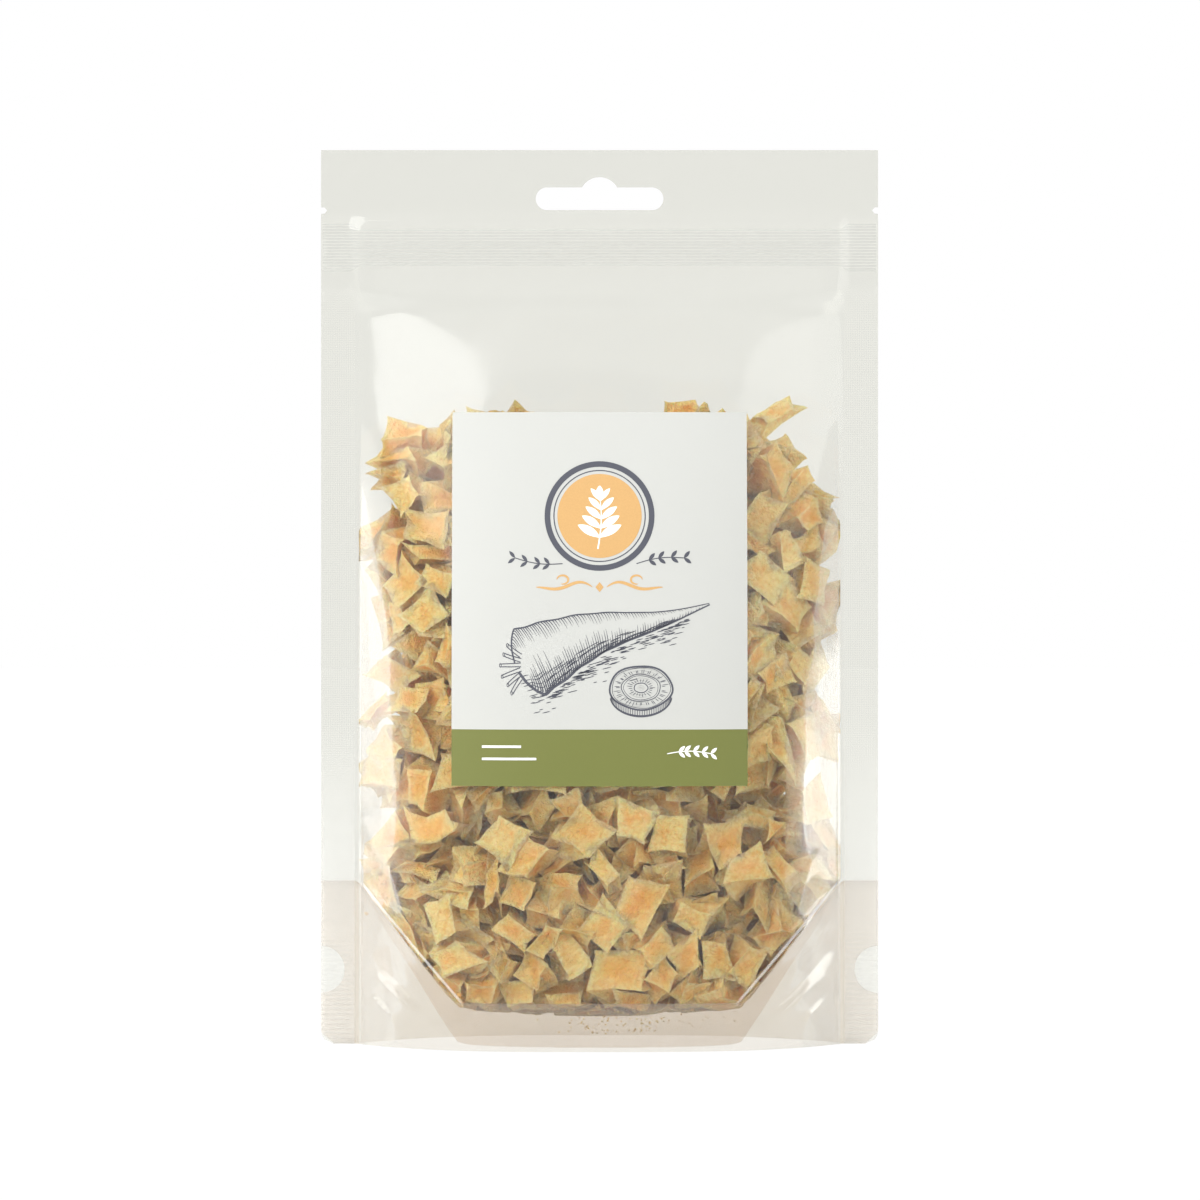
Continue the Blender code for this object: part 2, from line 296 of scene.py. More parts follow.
# %% Film material
def film_material(name, tint, haze, shine, rise=0.45, roughness=0.09, welds=True):
    """Clear film. tint is what one face lets through, haze the share that doesn't go straight,
    shine how much of that share is mirrored and not scattered, and rise how fast the share grows
    as the film is seen flatter."""
    n = Nodes(name)
    place = n.add("TexCoord").outputs["Object"]
    axes = n.add("SeparateXYZ", Vector=place)
    x, z = axes.outputs["X"], axes.outputs["Z"]
    side = n.math("ABSOLUTE", x)
    broad = n.add("TexNoise", Vector=place, Scale=55.0, Detail=3.0, Roughness=0.55).outputs[0]
    fine = n.add("TexNoise", Vector=place, Scale=900.0, Detail=2.0).outputs[0]
    height = n.math("MULTIPLY_ADD", fine, 0.02, n.math("MULTIPLY", broad, 0.35))
    share = n.math("MULTIPLY_ADD", broad, 0.5 * haze, 0.75 * haze)
    mirror = shine
    if welds:
        pitch = 2 * math.pi / (0.75 * MM)
        first = n.math("SINE", n.math("MULTIPLY", n.math("ADD", x, z), 0.72 * pitch))
        second = n.math("SINE", n.math("MULTIPLY", n.math("SUBTRACT", x, z), 0.72 * pitch))
        diamonds = n.math("MULTIPLY", first, second)
        ribs = n.math("SINE", n.math("MULTIPLY", z, pitch * 0.66))
        low = n.between(z, 20 * MM, 34 * MM, 1.0, 0.0)
        pressed = n.math("ADD", n.math("MULTIPLY", diamonds, n.math("SUBTRACT", 1.0, low)),
                         n.math("MULTIPLY", ribs, low))
        on_side = n.between(side, INNER + 0.2 * MM, INNER + 0.9 * MM)
        below_zip = n.between(z, 172 * MM, 178 * MM, 1.0, 0.0)
        weld = n.math("MULTIPLY", on_side, below_zip)
        height = n.math("MULTIPLY_ADD", n.math("MULTIPLY", pressed, weld), 0.30, height)
        milky = n.between(z, 42 * MM, 80 * MM, 0.10, -0.020)
        share = n.math("MULTIPLY_ADD", n.math("MULTIPLY_ADD", pressed, 0.018, milky), weld, share)
        (x0, z0), (x1, z1) = K_WELD
        length = math.hypot(x1 - x0, z1 - z0)
        off = n.math("ADD", n.math("MULTIPLY", side, (z1 - z0) / length),
                     n.math("MULTIPLY", z, -(x1 - x0) / length))
        start = (x0 * (z1 - z0) - z0 * (x1 - x0)) / length
        off = n.math("ABSOLUTE", n.math("SUBTRACT", off, start))
        reach = n.math("MULTIPLY", n.between(side, 31 * MM, 33 * MM),
                       n.between(side, 54 * MM, 56 * MM, 1.0, 0.0))
        line = n.math("MULTIPLY", n.between(off, 0.15 * MM, 0.45 * MM, 1.0, 0.0), reach)
        share = n.math("MULTIPLY_ADD", line, 0.22, share)
        mirror = n.math("MULTIPLY", n.math("SUBTRACT", 1.0, n.math("MAXIMUM", weld, line)), shine)
    bump = n.add("Bump", Strength=0.5, Distance=0.4 * MM, Height=height).outputs[0]
    edge = n.add("LayerWeight", Blend=0.35, Normal=bump).outputs["Fresnel"]
    gloss = n.add("BsdfPrincipled", Base_Color=(0.96, 0.96, 0.955, 1.0), Metallic=mirror,
                  Roughness=roughness, Normal=bump)
    clear = n.add("BsdfTransparent", Color=(*tint, 1.0))
    factor = n.math("MULTIPLY_ADD", edge, rise, share, clamp=True)
    return n.finish(n.add("MixShader", _0=factor, _1=clear.outputs[0], _2=gloss.outputs[0]))


K_WELD = (32.1 * MM, 11.5 * MM), (55.2 * MM, 37.4 * MM)
WEB_FILM = film_material("clear_web_film", (0.943, 0.943, 0.926), 0.010, 0.60)
FLOOR_FILM = film_material("clear_floor_film", (0.990, 0.972, 0.955), 0.05, 0.10,
                           rise=0.06, roughness=0.3)


# %% [markdown]
# The zip is extruded from the same plastic but is thicker, so it looks milky white. The paper
# label has an off-white ground with faint fibres, and a green band along its lower edge. The
# band ends at a height, so the material picks its colour from the Object coordinates.

# %% Zip and label materials
def zip_material():
    n = Nodes("milky_zip_plastic")
    place = n.add("TexCoord").outputs["Object"]
    streaks = n.add("Mapping", Vector=place, Scale=(0.05, 1.0, 1.0)).outputs[0]
    noise = n.add("TexNoise", Vector=streaks, Scale=1500.0, Detail=2.0).outputs[0]
    bump = n.add("Bump", Strength=0.25, Distance=0.2 * MM, Height=noise).outputs[0]
    milk = n.add("BsdfPrincipled", Base_Color=(0.94, 0.95, 0.955, 1.0), Metallic=0.1,
                 Roughness=0.25, Normal=bump)
    clear = n.add("BsdfTransparent", Color=(0.985, 0.985, 0.985, 1.0))
    edge = n.add("LayerWeight", Blend=0.3, Normal=bump).outputs["Fresnel"]
    height = n.add("SeparateXYZ", Vector=place).outputs["Z"]
    ribs = n.math("SINE", n.math("MULTIPLY", height, 2 * math.pi / (0.70 * MM)))
    milky = n.math("MULTIPLY_ADD", noise, 0.05, n.math("MULTIPLY_ADD", ribs, 0.030, 0.020))
    factor = n.math("MULTIPLY_ADD", edge, 0.15, milky, clamp=True)
    return n.finish(n.add("MixShader", _0=factor, _1=clear.outputs[0], _2=milk.outputs[0]))


BAND_TOP = LABEL_LOW + 13.0 * MM


def label_material():
    n = Nodes("matt_label_paper")
    place = n.add("TexCoord").outputs["Object"]
    z = n.add("SeparateXYZ", Vector=place).outputs["Z"]
    fibre = n.add("TexNoise", Vector=place, Scale=2600.0, Detail=3.0, Roughness=0.7).outputs[0]
    cloud = n.add("TexNoise", Vector=place, Scale=90.0, Detail=2.0).outputs[0]
    paper = n.blend(fibre, (0.468, 0.473, 0.448), (0.488, 0.493, 0.468))
    paper = n.blend(n.math("MULTIPLY", cloud, 0.10), paper, (0.45, 0.45, 0.423))
    ink = n.blend(fibre, (0.131, 0.145, 0.025), (0.148, 0.162, 0.032))
    ink = n.blend(n.math("MULTIPLY", cloud, 0.14), ink, (0.117, 0.14, 0.026))
    colour = n.blend(n.math("LESS_THAN", z, BAND_TOP), paper, ink)
    bump = n.add("Bump", Strength=0.25, Distance=0.05 * MM, Height=fibre).outputs[0]
    rough = n.math("MULTIPLY_ADD", fibre, 0.15, 0.48)
    return n.finish(n.add("BsdfPrincipled", Base_Color=colour, Roughness=rough, Normal=bump))


def ink_material(name, colour):
    """Printing ink, slightly uneven."""
    n = Nodes(name)
    place = n.add("TexCoord").outputs["Object"]
    grain = n.add("TexNoise", Vector=place, Scale=3000.0, Detail=2.0).outputs[0]
    thin = tuple(min(1.0, c * 1.35 + 0.01) for c in colour)
    shade = n.blend(n.math("MULTIPLY", grain, 0.45), colour, thin)
    bump = n.add("Bump", Strength=0.15, Distance=0.03 * MM, Height=grain).outputs[0]
    rough = n.math("MULTIPLY_ADD", grain, 0.1, 0.45)
    return n.finish(n.add("BsdfPrincipled", Base_Color=shade, Roughness=rough, Normal=bump))


ZIP_PLASTIC = zip_material()
LABEL_PAPER = label_material()
DARK_INK = ink_material("dark_ink", srgb(66, 68, 78))
TAN_INK = ink_material("tan_ink", srgb(188, 148, 92))
PALE_INK = ink_material("pale_ink", srgb(240, 240, 232))


# %% [markdown]
# Dried parsnip is cream where the cut face is clean and golden where sugar has browned it. Each
# piece carries three attributes: `tone`, one random number for the piece, `rim`, which is 0 in
# the middle of a face and 1 on an edge, and `local`, a place that turns with the piece, so that
# its fibres run along it. From `rim` the edges are painted paler as a highlight, and the sunk
# middles of the faces are painted darker as shade. Bump adds the fibres and the grainy,
# crystal-like surface.

# %% Parsnip material
def parsnip_material():
    n = Nodes("dried_parsnip")
    local = n.add("Attribute", {"attribute_name": "local"}).outputs["Vector"]
    tone = n.add("Attribute", {"attribute_name": "tone"}).outputs["Fac"]
    rim = n.add("Attribute", {"attribute_name": "rim"}).outputs["Fac"]
    along = n.add("Mapping", Vector=local, Scale=(1.0, 1.0, 0.16)).outputs[0]
    fibre = n.add("TexNoise", Vector=along, Scale=1000.0, Detail=4.0, Roughness=0.62).outputs[0]
    patch = n.add("TexNoise", Vector=local, Scale=230.0, Detail=3.0, Roughness=0.6).outputs[0]
    grain = n.add("TexVoronoi", Vector=local, Scale=2300.0).outputs["Distance"]
    flesh = n.blend(n.between(tone, 0.1, 0.9), (1.00, 0.73, 0.29), (1.00, 0.59, 0.17))
    golden = n.blend(n.between(tone, 0.2, 1.0), (0.98, 0.48, 0.10), (0.90, 0.35, 0.05))
    colour = n.blend(n.between(patch, 0.46, 0.70, 0.0, 0.8), flesh, golden)
    # Painted highlight: the edges of every piece are painted paler cream, more so towards the rim.
    colour = n.blend(n.between(rim, 0.45, 1.0, 0.0, 0.65), colour, (1.0, 0.83, 0.42))
    colour = n.blend(n.between(fibre, 0.32, 0.60, 0.45, 0.0), colour, (0.84, 0.37, 0.06))
    # Painted shade: the sunk middle of each face is painted darker brown where shade falls, more so on pieces
    # of higher tone.
    painted_hollow_shade = n.between(rim, 0.0, 0.75, 0.42, 0.0)
    painted_shade_by_tone = n.math("MULTIPLY", painted_hollow_shade, n.between(tone, 0.15, 0.8))
    colour = n.blend(painted_shade_by_tone, colour, (0.84, 0.42, 0.08))
    height = n.math("ADD", n.math("MULTIPLY", fibre, 1.1), n.math("MULTIPLY", patch, 2.4))
    height = n.math("MULTIPLY_ADD", grain, 0.22, height)
    bump = n.add("Bump", Strength=1.0, Distance=1.1 * MM, Height=height).outputs[0]
    rough = n.math("MULTIPLY_ADD", grain, 0.35, 0.45)
    body = n.add("BsdfPrincipled", Base_Color=colour, Roughness=rough, Normal=bump,
                 Subsurface_Weight=0.5, Subsurface_Radius=(1.0, 0.5, 0.2),
                 Subsurface_Scale=2.0 * MM)
    return n.finish(body)


PARSNIP = parsnip_material()


# %% [markdown]
# ## The film
#
# A web is a grid over x and z, laid at `web_depth`. The film is stiff and was folded, so it also
# has soft dents where pieces press on it, slack waves in the empty head, and sharp creases in
# the two lower corners, where the fold of the bottom pulls on it. A crease is a straight ridge
# whose height falls off with the distance from its line and towards its ends.

# %% Creases and dents
def crease(x, z, start, end, height, width):
    """Ridge along a line in millimetres: height times a bell across it times a bow along it."""
    (x0, z0), (x1, z1) = [(a * MM, b * MM) for a, b in (start, end)]
    length = math.hypot(x1 - x0, z1 - z0)
    ux, uz = (x1 - x0) / length, (z1 - z0) / length
    t = ((x - x0) * ux + (z - z0) * uz) / length
    off = (x - x0) * uz - (z - z0) * ux
    return height * MM * np.exp(-np.abs(off) / (width * MM)) * np.clip(4 * t * (1 - t), 0, 1) ** 0.5


WEB_SEED = 11
CORNER_CREASES = [
    # start, end (mm; x counted outwards from the middle), height and width (mm)
    ((33.5, 11.5), (56.0, 37.5), 0.55, 0.8),
    ((36.0, 3.0), (52.0, 16.0), 0.40, 1.2),
    ((41.0, 9.0), (55.0, 24.0), -0.35, 1.4),
    ((30.0, 6.0), (45.0, 3.0), 0.30, 1.5),
    ((47.0, 5.0), (56.0, 13.0), 0.35, 1.0),
    ((44.0, 30.0), (55.0, 52.0), 0.35, 1.6),
    ((49.0, 26.0), (51.0, 6.0), -0.30, 1.8),
]


def web_detail(x, z, seed):
    """Dents, slack and creases of one web, as extra distance from y = 0."""
    inside = ramp(0, 5 * MM, INNER - np.abs(x)) * ramp(0, 6 * MM, ZIP_LOW - 4 * MM - z)
    edge = floor_edge(x)
    filled = inside * (1 - ramp(140 * MM, 156 * MM, z)) * ramp(edge, edge + 6 * MM, z)
    empty = inside * ramp(142 * MM, 158 * MM, z)
    skirt = inside * (1 - ramp(edge, edge + 5 * MM, z))
    dents = 0.26 * MM * waves(x, z, seed, 9 * MM, 16 * MM)
    dents = dents + 0.25 * MM * waves(x, z, seed + 1, 22 * MM, 40 * MM)
    dents = dents * (1 - 0.8 * ramp(30 * MM, 42 * MM, np.abs(x)))
    slack = 0.35 * MM * waves(x, z, seed + 2, 30 * MM, 70 * MM, 8)
    folds = 0.30 * MM * waves(x, z, seed + 3, 14 * MM, 34 * MM, 8)
    total = filled * dents + empty * slack + skirt * folds
    beside = np.maximum(np.abs(x) - LABEL_HALF, np.maximum(LABEL_LOW - z, z - LABEL_HIGH))
    total = total * (ramp(0.5 * MM, 7 * MM, beside) if seed == WEB_SEED else 1)
    for start, end, height, width in CORNER_CREASES:
        for side in (-1, 1):
            vary = 1 + 0.35 * math.sin(seed * 7.1 + start[0] + 3 * side)
            mirrored = [(side * point[0], point[1]) for point in (start, end)]
            total = total + inside * crease(x, z, *mirrored, height * vary, width)
    return total


def web_points(side, seed, step=1.0 * MM):
    """Grid of a web. Rows climb in z and columns run in x, with columns on the weld's edges."""
    across = np.concatenate([np.linspace(-HALF, -INNER, 9), np.linspace(-INNER, INNER, 107)[1:-1],
                             np.linspace(INNER, HALF, 9)])
    rows = np.linspace(0, HEIGHT, int(HEIGHT / step))
    x, z = np.meshgrid(across, rows)
    x = within_corners(x, z)
    depth = np.minimum(web_depth(x, z) + web_detail(x, z, seed), BULGE + GUSSET_SEAL)
    return np.stack([x, side * depth, z], -1)


# %% [markdown]
# The hang slot and the tear notches are cut with a Boolean, as on the real line, where a punch
# goes through the sealed header. The punch is a closed prism over the slot's outline: two round
# ends and a low crown in the middle of the upper edge.

# %% Punches
def arc(x, z, radius, start, end, steps):
    """Points on a circle between two angles."""
    a = np.linspace(start, end, steps)
    return np.stack([x + radius * np.cos(a), z + radius * np.sin(a)], -1)


def prism(name, outline, depth):
    """Closed solid from an outline in x and z, run along y."""
    count = len(outline)
    front = np.insert(outline, 1, -depth / 2, axis=1)
    back = np.insert(outline, 1, depth / 2, axis=1)
    loop = np.arange(count)
    sides = np.stack([loop, (loop + 1) % count, (loop + 1) % count + count, loop + count], -1)
    faces = [*sides[:, ::-1].tolist(), loop.tolist(), (loop[::-1] + count).tolist()]
    piece = mesh_piece(name, np.concatenate([front, back]), faces, smooth=False)
    piece.hide_render = True
    return piece


def slot_outline():
    """Round-ended slot with a crown, measured from the frame's opening box."""
    box = frame["record"]["physics"]["openings"][0]["box_m"]
    centre = (box[0][2] + box[1][2]) / 2
    end = (box[1][2] - box[0][2]) / 2 + 0.1 * MM
    reach = box[1][0] + 0.05 * MM
    rise, half_chord = 2.4 * MM, 4.1 * MM
    crown = (half_chord ** 2 + rise ** 2) / (2 * rise)
    spread = math.asin(half_chord / crown)
    return np.concatenate([
        arc(reach, centre, end, -math.pi / 2, math.pi / 2, 24),
        arc(0, centre + end + rise - crown, crown, math.pi / 2 - spread, math.pi / 2 + spread, 22),
        arc(-reach, centre, end, math.pi / 2, 3 * math.pi / 2, 24)])


def notch_outline(side):
    """Pointed nick with a round mouth in one side edge."""
    tip, mouth = 1.4 * MM, 0.9 * MM
    outside, shoulder = HALF + 1 * MM, HALF - 0.6 * tip
    return np.array([[side * outside, NOTCH_LEVEL - mouth],
                     [side * outside, NOTCH_LEVEL + mouth],
                     [side * shoulder, NOTCH_LEVEL + 0.75 * mouth],
                     [side * (HALF - tip), NOTCH_LEVEL],
                     [side * shoulder, NOTCH_LEVEL - 0.75 * mouth]])[::side]


PUNCHES = [prism("slot_punch", slot_outline(), 8 * MM)]
PUNCHES += [prism(f"notch_punch_{side}", notch_outline(side), 8 * MM) for side in (-1, 1)]


# %% The two webs
def make_web(name, side, seed, node):
    """Thin closed shell with the slot and notches cut out."""
    points = web_points(side, seed)
    quads = grid_quads(*points.shape[:2])
    piece = thicken(mesh_piece(name, points, quads if side < 0 else quads[:, ::-1]), FILM)
    for punch in PUNCHES:
        cut = piece.modifiers.new(punch.name, "BOOLEAN")
        cut.operation = "DIFFERENCE"
        cut.object = punch
    bake_modifiers(piece)
    piece.data.set_sharp_from_angle(angle=math.radians(60))
    finish_piece(piece, WEB_FILM, "clear_film", node)
    return piece


make_web("front_web", -1, WEB_SEED, "front_film")
make_web("back_web", 1, 23, "back_film")
for punch in PUNCHES:
    bpy.data.objects.remove(punch)


# %% [markdown]
# The bottom is one strip of film: up inside the front web, over as a floor that sags onto the
# ground under the weight, and down inside the back web. Its side edges have half-round punches,
# through which the two webs are welded together.

# %% The bottom
def gusset_points(columns=131, leaf=14, across=44):
    """Grid of the strip. v runs from -1, the front edge, to 1: leaf, floor, leaf."""
    split = across / (2 * leaf + across)
    u = np.linspace(-1, 1, columns)
    v = np.linspace(-1, 1, 2 * leaf + across + 1)
    x, v = np.meshgrid(u * HALF, v)
    floor = np.clip(v / split, -1, 1)
    climb = floor_edge(x) * np.clip((1 - np.abs(v)) / (1 - split), 0, 1)
    z = np.where(np.abs(v) < split, floor_height(x, floor), climb)
    slack = 0.5 * MM * waves(x, v * 0.03, 5, 10 * MM, 26 * MM) * (1 - floor ** 2)
    z = z + np.where(z > 1 * MM, slack * ramp(0, 4 * MM, INNER - np.abs(x)), 0)
    x = within_corners(x, climb)
    wall = web_depth(x, climb) - CAD_FILM - GAP
    ripple = 0.12 * MM * waves(x, climb, 6, 8 * MM, 20 * MM)
    wall = wall - np.abs(ripple) * ramp(0, 3 * MM, INNER - np.abs(x))
    return np.stack([x, wall * floor, z], -1)


def make_gusset():
    points = gusset_points()
    piece = thicken(mesh_piece("bottom_fold", points, grid_quads(*points.shape[:2])), FILM)
    punches = []
    for side in (-1, 1):
        outline = arc(side * HALF, PUNCH_LEVEL, PUNCH_RADIUS, 0.02, 2 * math.pi + 0.02, 41)[:-1]
        punches.append(prism(f"gusset_punch_{side}", outline, 8 * MM))
        cut = piece.modifiers.new(punches[-1].name, "BOOLEAN")
        cut.operation = "DIFFERENCE"
        cut.object = punches[-1]
    bake_modifiers(piece)
    for punch in punches:
        bpy.data.objects.remove(punch)
    finish_piece(piece, FLOOR_FILM, "clear_film", "bottom_gusset")


make_gusset()


# %% [markdown]
# ## The zip
#
# Each half of a press-to-close zip is a ribbed strip: a thin flange with fine ribs that help the
# fingers find it, and in the middle either one arrow-shaped rib or the two jaws that grip it.
# The strip is its section carried along x. In the side welds the strip is melted flat, so there
# the section grows taller and thinner, with small lumps where the plastic was squeezed out.

# %% Zip section and loft
def zip_section(ribs):
    """Heights from below upwards, and how thick the track is there: flange, fine waves and ribs."""
    half = (ZIP_HIGH - ZIP_LOW) / 2
    t = np.linspace(-half, half, 120)
    thick = 0.22 * MM + 0.10 * MM * np.clip(np.cos(t * 2 * np.pi / (1.05 * MM)), 0, 1) ** 2
    thick = thick * ramp(0, 0.3 * MM, half - np.abs(t)) + 0.06 * MM
    for offset, width, tall in ribs:
        thick = thick + tall * MM * np.clip(1 - ((t - offset * MM) / (width * MM / 2)) ** 4, 0, 1)
    return t, thick


def zip_points(side, ribs):
    """Rows along x, columns round the section: up the outer face and down the inner one."""
    t, thick = zip_section(ribs)
    ends = np.linspace(0, 1, 26)
    x = np.concatenate([-HALF + 0.4 * MM + ends * 12 * MM, np.linspace(-50 * MM, 50 * MM, 60),
                        (HALF - 0.4 * MM - ends * 12 * MM)[::-1]])
    x = np.unique(np.round(x, 6))
    crush = ramp(INNER - 0.6 * MM, INNER + 1.6 * MM, np.abs(x))[:, None]
    lumps = np.exp(-((np.abs(x) - INNER) / (1.1 * MM)) ** 2)[:, None]
    middle = (ZIP_LOW + ZIP_HIGH) / 2
    tall = t[None] * (1 + 0.30 * crush) + 0 * x[:, None]
    body = thick[None] * (1 - crush) + 0.25 * MM * crush
    melted = np.abs(waves(x[:, None] + 0 * t[None], tall, 40 + side, 1 * MM, 2.5 * MM))
    body = body + 0.12 * MM * lumps * melted
    wall = web_depth(x[:, None] + 0 * t[None], middle + 0 * tall) - CAD_FILM / 2 - 0.2 * MM
    wall = np.minimum(wall, ZIP_SPREAD)
    outer = np.stack([x[:, None] + 0 * tall, side * wall, middle + tall], -1)
    inner = np.stack([x[:, None] + 0 * tall, side * (wall - body), middle + tall], -1)
    return np.concatenate([outer, inner[:, ::-1]], axis=1)


def make_zip(name, side, ribs, node):
    points = zip_points(side, ribs)
    rows, columns = points.shape[:2]
    quads = grid_quads(rows, columns, wrap_columns=True)
    half = columns // 2
    caps = np.stack([np.arange(half - 1), np.arange(1, half), columns - 1 - np.arange(1, half),
                     columns - 1 - np.arange(half - 1)], -1)
    faces = np.concatenate([quads, caps[:, ::-1], caps + (rows - 1) * columns])
    piece = mesh_piece(name, points, faces if side < 0 else faces[:, ::-1])
    piece.data.set_sharp_from_angle(angle=math.radians(50))
    finish_piece(piece, ZIP_PLASTIC, "zip_plastic", node)


make_zip("zip_ridge_track", -1, [(0.0, 1.0, 0.55), (0.0, 0.45, 0.45)], "zip_front_track")
make_zip("zip_jaw_track", 1, [(-1.1, 0.5, 0.8), (1.1, 0.5, 0.8)], "zip_back_track")


# %% [markdown]
# ## The label
#
# The label follows the front web. Its print is drawn here with ribbons: a stroke is a line on
# the label, in millimetres from the label's middle, with a width that may swell and taper. The
# drawing is a plain one: a round badge with a sprig, and a root with its growth rings.

# %% The label sheet
LABEL_MIDDLE = (LABEL_LOW + LABEL_HIGH) / 2
LABEL_THICK = 0.12 * MM


def label_depth(x, z):
    """Distance of the label's middle from y = 0: the web's, the film and a hair's breadth."""
    return web_depth(x, z) + FILM / 2 + 0.22 * MM


def make_label():
    across, upward = np.linspace(-LABEL_HALF, LABEL_HALF, 60), np.linspace(LABEL_LOW, LABEL_HIGH, 76)
    x, z = np.meshgrid(across, upward)
    points = np.stack([x, -label_depth(x, z), z], -1)
    piece = thicken(mesh_piece("label_sheet", points, grid_quads(*x.shape)), LABEL_THICK)
    bake_modifiers(piece)
    piece.data.set_sharp_from_angle(angle=math.radians(60))
    finish_piece(piece, LABEL_PAPER, "label_paper", "label")


make_label()


# %% Strokes of print
class Print:
    """Collects strokes in one ink and lays them on the label."""

    def __init__(self, name, ink, lift):
        self.name, self.ink, self.lift = name, ink, lift * MM
        self.points, self.faces, self.count = [], [], 0

    def ribbon(self, left, right, closed=False):
        """Strip between two lines of label points."""
        rows = len(left)
        self.points.append(np.stack([left, right], 1).reshape(-1, 2))
        self.faces.append(grid_quads(rows, 2, wrap_rows=closed) + self.count)
        self.count += 2 * rows

    def stroke(self, x, z, width, closed=False):
        """Line with a width for each of its points, or one width for all."""
        line = np.stack([x, z], -1)
        ahead = np.roll(line, -1, 0) - np.roll(line, 1, 0) if closed else np.gradient(line, axis=0)
        ahead = ahead / np.maximum(np.linalg.norm(ahead, axis=1, keepdims=True), 1e-9)
        half = np.asarray(width) / 2 * np.ones(len(line))
        side = np.stack([-ahead[:, 1], ahead[:, 0]], -1) * half[:, None]
        self.ribbon(line + side, line - side, closed)

    def ellipse(self, x, z, wide, tall, width, angles):
        """Closed stroke round a point, wide and tall being the half-axes."""
        self.stroke(x + wide * np.cos(angles), z + tall * np.sin(angles), width, closed=True)

    def lay(self):
        """Make the piece: label millimetres become places just in front of the paper."""
        flat = np.concatenate(self.points) * MM
        x, z = flat[:, 0], flat[:, 1] + LABEL_MIDDLE
        y = -(label_depth(x, z) + LABEL_THICK / 2 + self.lift)
        faces = np.concatenate(self.faces)
        piece = mesh_piece(self.name, np.stack([x, y, z], -1), faces, smooth=False)
        work = piece.data
        normals = np.empty(len(work.polygons) * 3)
        work.polygons.foreach_get("normal", normals)
        for index in np.flatnonzero(normals[1::3] > 0):
            work.polygons[int(index)].flip()
        thicken(piece, 0.02 * MM)
        bake_modifiers(piece)
        finish_piece(piece, self.ink, "label_paper")


def taper(count, width, sharp=0.6):
    """Width that swells in the middle of a stroke and thins towards both ends."""
    t = np.linspace(0, 1, count)
    return width * (0.12 + 0.88 * np.clip(4 * t * (1 - t), 0, 1) ** sharp)


# %% [markdown]
# The badge: a tan disc in a dark ring, with a pale sprig on it. A leaf is a stroke whose width
# swells in the middle, so the whole sprig is a few strokes along a bowed stem.

# %% Badge
BADGE_Z, BADGE_RADIUS = 19.0, 12.0


def draw_badge(dark, tan, pale):
    turn = np.linspace(0, 2 * np.pi, 97)[:-1]
    for radius, width in ((BADGE_RADIUS, 1.3), (BADGE_RADIUS - 1.5, 0.25)):
        dark.ellipse(0, BADGE_Z, radius, radius, width, turn)
    disc = BADGE_RADIUS - 2.3
    for ring in range(8):
        radius = disc * (ring + 0.5) / 8
        tan.ellipse(0, BADGE_Z, radius, radius, disc / 8, turn)
    t = np.linspace(0, 1, 30)
    stem_x, stem_z = 0.8 * np.sin(t * 2.6) - 0.4, BADGE_Z - 7.6 + 12.2 * t
    pale.stroke(stem_x, stem_z, 0.35 * (1 - 0.5 * t))
    for k in range(5):
        at = 6 + 5 * k
        for side in (-1, 1):
            s = np.linspace(0, 1, 14)
            reach = (5.0 - 0.7 * k) * side
            x = stem_x[at] + reach * s
            z = stem_z[at] + 3.0 * s ** 0.8
            pale.stroke(x, z, 1.9 * (1 - 0.1 * k) * np.sin(np.pi * s) ** 0.8 + 0.05)
    s = np.linspace(0, 1, 14)
    bud = 1.6 * np.sin(np.pi * s) ** 0.8 + 0.05
    pale.stroke(stem_x[-1] + 0 * s, stem_z[-1] - 0.6 + 3.0 * s, bud)


# %% [markdown]
# The root: an axis that bends a little and a radius that swells fast at the shoulder and thins
# to a whip at the tip. Its outline is two strokes. Growth rings are short curved strokes from
# both edges, closer together on the shaded side, and leaf stubs stand on the shoulder.

# %% Root
def root_axis(t):
    """Middle line of the root in label millimetres, from shoulder to tip, in a slight bow."""
    return -19.0 + 44.5 * t, -16.0 + 14.0 * t + 2.2 * np.sin(np.pi * t) + 1.2 * np.sin(7 * t) * t


def root_radius(t):
    """Half-width of the root: a round shoulder, then a long taper to a thin whip."""
    shoulder = np.clip(t / 0.07, 0, 1) ** 0.5
    return 9.2 * shoulder * (0.93 * np.clip(1 - t, 0, 1) ** 1.35 + 0.07 * (1 - t) ** 0.3)


def root_point(t, across):
    """Point at t along the root and across from -1, the lower edge, to 1."""
    x, z = root_axis(t)
    e = 1e-3
    x2, z2 = root_axis(t + e)
    length = np.hypot(x2 - x, z2 - z)
    r = root_radius(t) * across
    return x - (z2 - z) / length * r, z + (x2 - x) / length * r


def draw_root(dark):
    rng = np.random.default_rng(4)
    t = np.linspace(0.001, 0.995, 90)
    for edge, width in ((1, 0.36), (-1, 0.60)):
        wobble = edge * (1 + 0.03 * np.sin(41 * t) * (1 - t))
        dark.stroke(*root_point(t, wobble), width * (1 - 0.5 * t))
    for k in range(150):
        at = 0.02 + 0.94 * ((k + rng.uniform(-0.3, 0.3)) / 150) ** 1.15
        upper = k % 2 == 0
        depth = rng.uniform(0.25, 0.6) if upper else rng.uniform(0.55, 1.15)
        s = np.linspace(0, 1, 12)
        across = (1 - depth * s) if upper else (-1 + depth * s)
        bow = 0.018 * np.sqrt(np.clip(1 - across ** 2, 0, 1))
        dark.stroke(*root_point(np.clip(at + bow, 0.002, 0.99), across),
                    (0.24 if upper else 0.34) * (1 - 0.85 * s) * (1 - 0.4 * at))
    for k in range(110):
        start = rng.uniform(0.03, 0.78)
        s = np.linspace(0, 1, 8)
        level = -1 + 0.55 * rng.uniform(0, 1) ** 1.5
        dark.stroke(*root_point(start + 0.06 * s, level + 0.05 * s), taper(8, 0.18))


